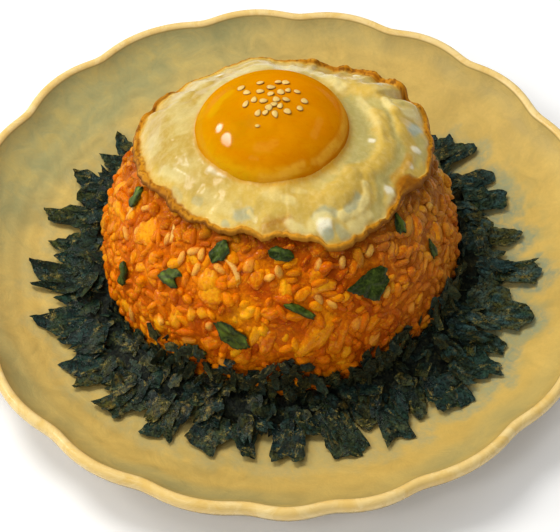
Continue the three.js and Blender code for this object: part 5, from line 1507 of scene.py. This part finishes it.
def torn(L, W, q, tips):
    """corners of a torn strip's free edge, one to three rough points at its end"""
    one = [(0, W * q.uniform(0.55, 0.85)), (0.33 * L, W * q.uniform(0.85, 1.12)), (0.66 * L, W * q.uniform(0.75, 1.05))]
    two = [(0.64 * L, -W * q.uniform(0.75, 1.05)), (0.30 * L, -W * q.uniform(0.85, 1.12)), (0, -W * q.uniform(0.55, 0.85))]
    end = {1: [(0.90, 0.45), (1.0, -0.05), (0.84, -0.50)], 2: [(0.98, 0.62), (0.80, 0.05), (0.92, -0.58)], 3: [(0.90, 0.72), (0.79, 0.36), (1.0, -0.02), (0.80, -0.40), (0.90, -0.75)]}[tips]
    end = [(L * (x + q.normal(0, 0.035)), W * (y + q.normal(0, 0.10))) for x, y in end]
    if q.random() < 0.5:
        end = [(x, -y) for x, y in end[::-1]]
    return np.array(one + end + two)


def sheet(free, q, lay, step=0.9, nS=8, ragged=0.30, thick=0.30):
    """a torn sheet from the corners of its free edge; lay(x, y, w) gives its height, w running outwards from 0 to 1"""
    P = np.asarray(free, float)
    axis = unit(P[1:-1].mean(0) - 0.5 * (P[0] + P[-1]))
    b = P[-1] - P[0]
    if axis[0] * b[1] - axis[1] * b[0] < 0:
        P, b = P[::-1], -b
    cum = np.concatenate([[0], np.cumsum(np.hypot(*np.diff(P, axis=0).T))])
    n = max(11, int(round(cum[-1] / step)) + 1)
    u = np.linspace(0, cum[-1], n)
    for c in cum[1:-1]:
        u[np.argmin(np.abs(u - c))] = c
    ring = np.stack([np.interp(u, cum, P[:, 0]), np.interp(u, cum, P[:, 1])], -1)
    t = unit(np.gradient(ring, axis=0))
    o = q.uniform(0, 99)
    k = np.stack([u / 0.9 + o, 0 * u, 0 * u], -1)
    off = ragged * (noise3(k, 141) + 0.7 * noise3(k * 0.42 + 3, 142)) * smooth(0, 0.08, u / cum[-1]) * smooth(1, 0.92, u / cum[-1])
    ring = ring + np.stack([t[:, 1], -t[:, 0]], -1) * off[:, None]
    side = np.maximum.accumulate(np.clip(((ring - P[0]) @ b) / (b @ b), 0, 1))
    side = 0.6 * side + 0.4 * u / cum[-1]
    ring, side = ring[2:-2], side[2:-2]
    n = len(ring)
    side = (side - side[0]) / (side[-1] - side[0])
    base = P[0] + side[:, None] * b
    s = np.linspace(0, 1, nS)[:, None, None]
    xy = base[None] * (1 - s) + ring[None] * s
    out = (xy - 0.5 * (P[0] + P[-1])) @ axis
    w = np.clip(out / out.max(), 0, 1)
    mid = np.concatenate([xy, lay(xy[..., 0], xy[..., 1], w)[..., None]], -1)
    nn = unit(np.cross(np.gradient(mid, axis=0), np.gradient(mid, axis=1)))
    rim = np.ones((nS, n))
    rim[-1] = 0.35; rim[:, 0] *= 0.5; rim[:, -1] *= 0.5
    h = thick * 0.5 * rim[..., None]
    V = np.concatenate([(mid + nn * h).reshape(-1, 3), (mid - nn * h).reshape(-1, 3)])
    i, j = np.meshgrid(np.arange(nS - 1), np.arange(n - 1), indexing="ij")
    q1 = np.stack([i * n + j, (i + 1) * n + j, (i + 1) * n + j + 1, i * n + j + 1], -1).reshape(-1, 4)
    M = nS * n
    loop = np.concatenate([np.arange(n), np.arange(1, nS) * n + n - 1, (nS - 1) * n + np.arange(n - 2, -1, -1), np.arange(nS - 2, 0, -1) * n])
    nx = np.roll(loop, -1)
    return V, np.concatenate([q1, q1[:, ::-1] + M, np.stack([loop, nx, nx + M, loop + M], -1)])


def crumple(x, y, o, k=1.0):
    """folds and fine puckers of dry seaweed"""
    return k * (0.62 * noise3(np.stack([x / 3.6 + o, y / 3.0, 0 * x], -1), 120) + 0.30 * noise3(np.stack([x / 1.4 + o, y / 1.2, 0 * x], -1), 121))


def build_seaweed():
    rngw = np.random.default_rng(77)
    darks = [rgb(20, 31, 25), rgb(17, 30, 28), rgb(22, 34, 31), rgb(28, 34, 20), rgb(15, 24, 20), rgb(22, 36, 29)]
    lights = [rgb(58, 72, 38), rgb(42, 66, 60), rgb(48, 76, 58), rgb(96, 94, 42), rgb(46, 62, 42), rgb(80, 90, 52)]
    heaps = {"long": [[], [], [], 0], "small": [[], [], [], 0]}
    count = 0

    def put(where, v, f, q, lift):
        nonlocal count
        V, F, COL, off = heaps[where]
        V.append(v); F.append(f + off)
        heaps[where][3] += len(v)
        count += 1
        i = count
        a = np.arctan2(v[:, 1], v[:, 0])
        # painted light: lighter round the right side, which the lamps leave in shade; lighter also at the lower left
        # and out at the ends
        lift = lift + 0.26 * around(a, 0, 62) + 0.13 * around(a, -130, 42) + 0.06 + 0.10 * smooth(66, 78, np.hypot(v[:, 0], v[:, 1]))
        k, k2 = q.choice(6, 2)
        g = np.clip(0.12 + 0.42 * noise3(v / 1.8 + i * 5, 130) + 0.40 * noise3(v / 0.75 + i, 131) + lift, 0, 1)[:, None]
        h = smooth(-0.3, 0.3, noise3(v / 2.6 + i * 3, 136))[:, None]
        c = (darks[k] * h + darks[k2] * (1 - h)) * (1 - g) + (lights[k] * h + lights[k2] * (1 - h)) * g
        # amber flecks where the sheet is thin
        thin = around(a, -128, 34) * 0.25
        m = (0.66 * smooth(0.35, 0.7, noise3(v / 0.95 + i * 2, 132) + thin) * smooth(0.2, 0.6, noise3(v / 3.2 + i, 133) + thin))[:, None]
        c = c * (1 - m) + rgb(148, 122, 52) * m
        # painted sheen: a cold teal shine in patches round the right side
        m = (0.66 * around(a, 0, 72) * smooth(0.0, 0.6, noise3(v / 1.3 + i * 7, 137)))[:, None]
        c = c * (1 - m) + rgb(70, 104, 104) * m
        c = c * (1 - np.array([0.22, 0.0, 0.0]) * around(a, -175, 55)[:, None])
        # painted sheen: small grey-blue shine patches
        m = (0.34 * smooth(0.45, 0.75, noise3(v / 1.1 + i * 4, 134)) * smooth(0.1, 0.6, noise3(v / 4.0 + i, 135)))[:, None]
        COL.append(c * (1 - m) + rgb(92, 112, 106) * m)

    tab = np.array(sorted([(b % 360, r) for b, r in NOTCHES] + [(b, 68.0 + 1.5 * math.sin(b)) for b in range(40, 136, 6)]))
    spread = np.arange(-4, 5, 1.0)

    def r_in(az):
        return float(np.interp((az + spread) % 360, tab[:, 0], tab[:, 1], period=360).min())

    lobes = [np.array(k) for k in LOBES]
    b = 44.0
    while b < 137:
        q = np.random.default_rng(int(2500 + b))
        L, W = q.uniform(17, 23), q.uniform(3.8, 6.0)
        a = math.radians(b) + q.normal(0, 0.12)
        c, sn = math.cos(a), math.sin(a)
        start = (q.uniform(74.0, 78.5) - L) * np.array([math.cos(math.radians(b)), math.sin(math.radians(b))])
        lobes.append(torn(L, W, q, int(q.choice([1, 2, 3]))) @ np.array([[c, sn], [-sn, c]]) + start)
        b += q.uniform(8.0, 11.0)

    def flat(z0, z1, o, k=1.0, curl=0.0):
        def lay(x, y, w):
            h = mix(z0, z1, smooth(0, 1, w)) + crumple(x, y, o, k) * (0.6 + 0.6 * w) + curl * w**4
            return plate_top(np.hypot(x, y)) + np.maximum(h, 0.38 + 0.2 * np.clip(noise3(np.stack([x / 2, y / 2, 0 * x], -1), 122), 0, 1))
        return lay

    for i, free in enumerate(lobes):
        q = np.random.default_rng(2000 + i)
        v, f = sheet(free, q, flat(3.3, 1.25, q.uniform(0, 90), 1.0, q.uniform(-0.5, 1.4)), step=0.85, nS=9, ragged=0.34)
        put("long", v, f, q, 0.04)
        # one or two narrower ones ride on it
        mid0, tip = 0.5 * (free[0] + free[-1]), free[1:-1].mean(0)
        ax = unit(tip - mid0)
        reach = ((free - mid0) @ ax).max()
        wide = np.linalg.norm(free[-1] - free[0])
        for j in range(2):
            a = math.atan2(ax[1], ax[0]) + q.normal(0, 0.34)
            L, W = reach * q.uniform(0.42, 0.80), q.uniform(1.7, 3.1)
            c, sn = math.cos(a), math.sin(a)
            start = mid0 + np.array([-ax[1], ax[0]]) * wide * q.uniform(-0.36, 0.36) - ax * q.uniform(0.0, 2.5)
            piece = torn(L, W, q, int(q.choice([1, 2, 3]))) @ np.array([[c, sn], [-sn, c]]) + start
            v, f = sheet(piece, q, flat(q.uniform(4.6, 6.6), q.uniform(1.9, 3.0), q.uniform(0, 90), 1.2, q.uniform(-0.4, 1.2)), step=1.2, nS=6, ragged=0.32)
            put("long", v, f, q, 0.0)
    # shorter ends between them
    for k in range(64):
        q = np.random.default_rng(3000 + k)
        az = -180 + (k + q.uniform(0.1, 0.9)) * 360 / 64
        rt = r_in(az) + q.uniform(-2.0, 2.0)
        L, W = q.uniform(7, 12), q.uniform(1.8, 3.4)
        a = math.radians(az) + q.normal(0, 0.55)
        c, sn = math.cos(a), math.sin(a)
        start = rt * np.array([math.cos(math.radians(az)), math.sin(math.radians(az))]) - L * np.array([c, sn])
        piece = torn(L, W, q, int(q.choice([1, 2, 3]))) @ np.array([[c, sn], [-sn, c]]) + start
        v, f = sheet(piece, q, flat(q.uniform(4.5, 7.5), q.uniform(1.0, 2.6), q.uniform(0, 90), 1.2, q.uniform(-0.4, 1.2)), step=1.2, nS=6, ragged=0.32)
        put("long", v, f, q, 0.0)
    # the heap: flakes on flakes
    for k in range(520):
        q = np.random.default_rng(4000 + k)
        az = q.uniform(-180, 180)
        t = q.uniform(0.0, 1.0) ** 0.9
        ar = math.radians(az)
        rin, ro = 52.5, r_in(az) - 2.2
        r = rin + (ro - rin) * t
        share = (r - 51.5) / (r_in(az) + 6.0 - 51.5)
        top = float(weed_top(np.array(share), np.array(ar)))
        h = top * q.uniform(0.62, 1.05) - 0.8
        L, W = q.uniform(4.8, 8.5), q.uniform(1.5, 2.9)
        a = ar + q.normal(0, 1.0)
        c, sn = math.cos(a), math.sin(a)
        pitch, roll, o = math.radians(q.normal(-6, 16)), q.normal(0, 0.40), q.uniform(0, 90)
        x0, y0 = r * math.cos(ar) - 0.5 * L * c, r * math.sin(ar) - 0.5 * L * sn
        z0 = plate_top(r) + max(0.4, h)

        def lay(x, y, w):
            across = -(x - x0) * sn + (y - y0) * c
            z = z0 + w * L * math.tan(pitch) - roll * across + crumple(x, y, o, 1.0)
            return np.maximum(z, plate_top(np.hypot(x, y)) + 0.45)

        piece = torn(L, W, q, int(q.choice([1, 2, 3]))) @ np.array([[c, sn], [-sn, c]]) + [x0, y0]
        v, f = sheet(piece, q, lay, step=1.6, nS=4, ragged=0.30)
        put("small", v, f, q, 0.05)
    # flakes that lean on the rice, some up to the ragged line where the rice begins to show
    lean_z = np.array(LEAN, float)
    view = math.radians(51)
    for k in range(760):
        q = np.random.default_rng(6000 + k)
        az = -180 + (k % 380 + q.uniform(0, 1)) * 360 / 380
        ar = math.radians(az)
        top = float(np.interp(az, lean_z[:, 0], lean_z[:, 1], period=360))
        L, W = (q.uniform(4.4, 8.2), q.uniform(1.2, 2.4)) if k < 380 else (q.uniform(3.4, 8.4), q.uniform(0.7, 1.7))
        if k < 380:
            z = 8.5 + q.uniform(0.0, 1.0) * max(1.0, top - 0.3 * L - 8.5)
        else:
            z = top + q.normal(0.2, 1.1)
        P, n = on_mound(az, z)
        P, n = P[0], n[0]
        d = q.uniform(1.3, 2.4)
        tip = P + d * np.array([math.cos(ar) * math.cos(view), math.sin(ar) * math.cos(view), math.sin(view)])
        lean = q.normal(0, 0.60 if k < 380 else 0.75)
        out = unit(n + 0.34 * q.normal(0, 1, 3) * [1, 1, 0.4] + [0, 0, 0.12])
        upv = unit(np.array([0, 0, 1.0]) - out * out[2])
        along = upv * math.cos(lean) + np.cross(upv, out) * math.sin(lean)
        o = q.uniform(0, 90)
        v, f = sheet(torn(L, W, q, int(q.choice([1, 2, 3]))) - [L, 0], q, lambda x, y, w: crumple(x, y, o, 1.1), step=1.5, nS=4, ragged=0.42)
        v = v @ frames(out[None], along[None])[0].T + tip
        v[:, 2] = np.maximum(v[:, 2], plate_top(np.hypot(v[:, 0], v[:, 1])) + 0.4)
        put("small", v, f, q, -0.02)
    m = Mat("seaweed_shreds")
    t = m.attr("tint")
    fine = m.noise(0.8, 5, 0.7, 0.4)
    mid = m.noise(3.4, 3, 0.6, 0.6)
    tiny = m.noise(0.5, 3, 0.65)
    speck = m.math("MULTIPLY", m.map(tiny, 0.46, 0.60, 0.0, 1.0), m.map(mid, 0.57, 0.66, 0.0, 1.0))
    c = m.mix(m.map(fine, 0.42, 0.55, 0.85, 0.0), t, rgb(6, 12, 12))
    c = m.mix(m.math("MULTIPLY", m.map(m.noise(1.5, 4, 0.65, 0.4), 0.55, 0.64, 0.0, 1.0), 0.4), c, rgb(46, 80, 76))
    m.color(m.mix(m.math("MULTIPLY", speck, 0.80), c, rgb(154, 136, 66)))
    m.rough(m.map(m.noise(1.3, 3, 0.6), 0.42, 0.62, 0.50, 0.20))
    m.put("Specular IOR Level", 0.50)
    m.bump((mid, 0.5), (fine, 0.30))
    for name, key in (("seaweed_shreds", "long"), ("seaweed_flakes", "small")):
        V, F, COL, off = heaps[key]
        ob = add_mesh(name, np.concatenate(V), [np.concatenate(F)], m.m, tint=np.concatenate(COL), sharp=40)
        pieces.append((ob, "seaweed", "seaweed"))
    print("seaweed pieces", count)

    # ---- the dark heap beneath
    turns = 300
    a = np.arange(turns) / turns * 2 * np.pi
    ro = np.array([r_in(math.degrees(b)) for b in a]) - 4.5
    inner = foot_radius(np.array(7.0)) - 2.0
    rows = []
    plan = [(0.0, 0.0), (0.0, 0.6), (0.08, 0.9), (0.18, 0.95), (0.28, 0.95), (0.38, 0.9), (0.48, 0.85), (0.58, 0.8), (0.68, 0.8), (0.78, 0.75), (0.86, 0.7), (0.93, 0.6), (0.98, 0.4), (1.0, 0.0), (0.6, 0.0), (0.3, 0.0)]
    for t, k in plan:
        r = inner + (ro - inner) * t
        x, y = r * np.cos(a), r * np.sin(a)
        z = plate_top(r) + 0.35
        if k:
            rough = 0.9 * noise3(np.stack([x / 3.0, y / 3.0, 0 * x], -1), 140) + 0.55 * noise3(np.stack([x / 1.4, y / 1.4, 0 * x], -1), 141)
            share = np.clip((r - 51.5) / (ro + 10.5 - 51.5), 0, 1)
            z = z + np.maximum(0.15, (weed_top(share, a) - 1.2) * k + rough)
        rows.append(np.stack([x, y, z], -1))
    V = np.concatenate(rows)
    m = Mat("seaweed_heap")
    fine = m.noise(1.3, 4, 0.7, 0.6)
    m.color(m.ramp(fine, [(0.36, rgb(9, 13, 11)), (0.52, rgb(22, 30, 24)), (0.62, rgb(44, 48, 28)), (0.72, rgb(86, 76, 38))]))
    m.rough(0.6)
    m.bump((fine, 0.9))
    ob = add_mesh("seaweed_heap", V, ring_faces(len(rows), turns, loop=True), m.m)
    pieces.append((ob, "seaweed", "seaweed"))


# ================================================================== build, floor, light, camera
build_plate()
build_rice()
build_chunks()
build_greens()
build_egg()
build_seeds()
build_seaweed()


def signed_volume(ob):
    me = ob.data
    co = np.zeros(len(me.vertices) * 3)
    me.vertices.foreach_get("co", co)
    co = co.reshape(-1, 3)
    me.calc_loop_triangles()
    tri = np.zeros(len(me.loop_triangles) * 3, np.int32)
    me.loop_triangles.foreach_get("vertices", tri)
    t = co[tri.reshape(-1, 3)]
    return float((np.cross(t[:, 0], t[:, 1]) * t[:, 2]).sum() / 6) * 1e6, len(t)


total = 0
for ob, slot, node in pieces:
    vol, tris = signed_volume(ob)
    total += tris
    print(f"{ob.name:18s} {vol:9.2f} cm3 {tris:8d} triangles")
    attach(ob, "root")
    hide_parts(node)
print("triangles in all", total)

floor_me = bpy.data.meshes.new("floor")
floor_me.from_pydata([(-4, -4, 0), (4, -4, 0), (4, 4, 0), (-4, 4, 0)], [], [(0, 1, 2, 3)])
floor = bpy.data.objects.new("floor", floor_me)
bpy.context.scene.collection.objects.link(floor)
fm = Mat("floor_pale")
fm.color((0.93, 0.93, 0.93))
fm.put("Emission Color", (1, 1, 1, 1))
fm.put("Emission Strength", 0.12)
fm.rough(0.65)
fm.put("Specular IOR Level", 0.2)
floor_me.materials.append(fm.m)


def area(name, az, el, dist, size, power, color=(1, 1, 1), shape="DISK", aim=(0, 0, 0.03), size_y=None):
    d = bpy.data.lights.new(name, "AREA")
    d.shape = shape
    d.size = size
    if size_y:
        d.size_y = size_y
    d.energy = power
    d.color = color
    o = bpy.data.objects.new(name, d)
    a, e = math.radians(az), math.radians(el)
    p = Vector((math.cos(a) * math.cos(e), math.sin(a) * math.cos(e), math.sin(e))) * dist + Vector(aim)
    o.location = p
    o.rotation_euler = (Vector(aim) - p).to_track_quat("-Z", "Y").to_euler()
    bpy.context.scene.collection.objects.link(o)
    return o


key = area("key", 146, 64, 0.95, 0.40, 5.4, (1.0, 0.985, 0.955))
glint = area("glint", 174.0, 39.3, 0.95, 0.30, 1.9, (1.0, 0.98, 0.94), shape="ELLIPSE", size_y=0.20)
glint2 = area("glint_small", 153.0, 28, 0.95, 0.13, 0.6, (1.0, 0.98, 0.94))
front = area("front", -118, 42, 1.3, 0.9, 3.5, (1.0, 0.985, 0.955))
sky = area("sky", 50, 70, 1.4, 1.0, 2.3, (0.98, 0.99, 1.0))
area("spark", -128, 50, 1.2, 0.24, 0.9, (1.0, 0.98, 0.94))
for lamp in (key, front, sky):
    lamp.visible_glossy = False  # the broad lights model the form, the small ones make the wet glints
world = bpy.data.worlds.new("studio")
bpy.context.scene.world = world
world.use_nodes = True
world.cycles_visibility.glossy = False
world.node_tree.nodes["Background"].inputs["Color"].default_value = (0.98, 0.99, 1.0, 1)
world.node_tree.nodes["Background"].inputs["Strength"].default_value = 0.22

cam_d = bpy.data.cameras.new("camera")
cam = bpy.data.objects.new("camera", cam_d)
bpy.context.scene.collection.objects.link(cam)
cam_d.sensor_width = 36
cam_d.lens = 112.963
cam_d.clip_start = 0.01
cam_d.clip_end = 20
right, upv, back = Vector((1, 0, 0)), Vector((0, 0.78152, 0.62388)), Vector((0, -0.62388, 0.78152))
M = Matrix((right, upv, back)).transposed().to_4x4()
M.translation = Vector(((-0.52889 + SHIFT[0]) * MM, (-363.92976 + SHIFT[1]) * MM, 459.31889 * MM))
cam.matrix_world = M
bpy.context.scene.camera = cam
bpy.context.scene.view_settings.view_transform = "Standard"
bpy.context.scene.view_settings.look = "None"
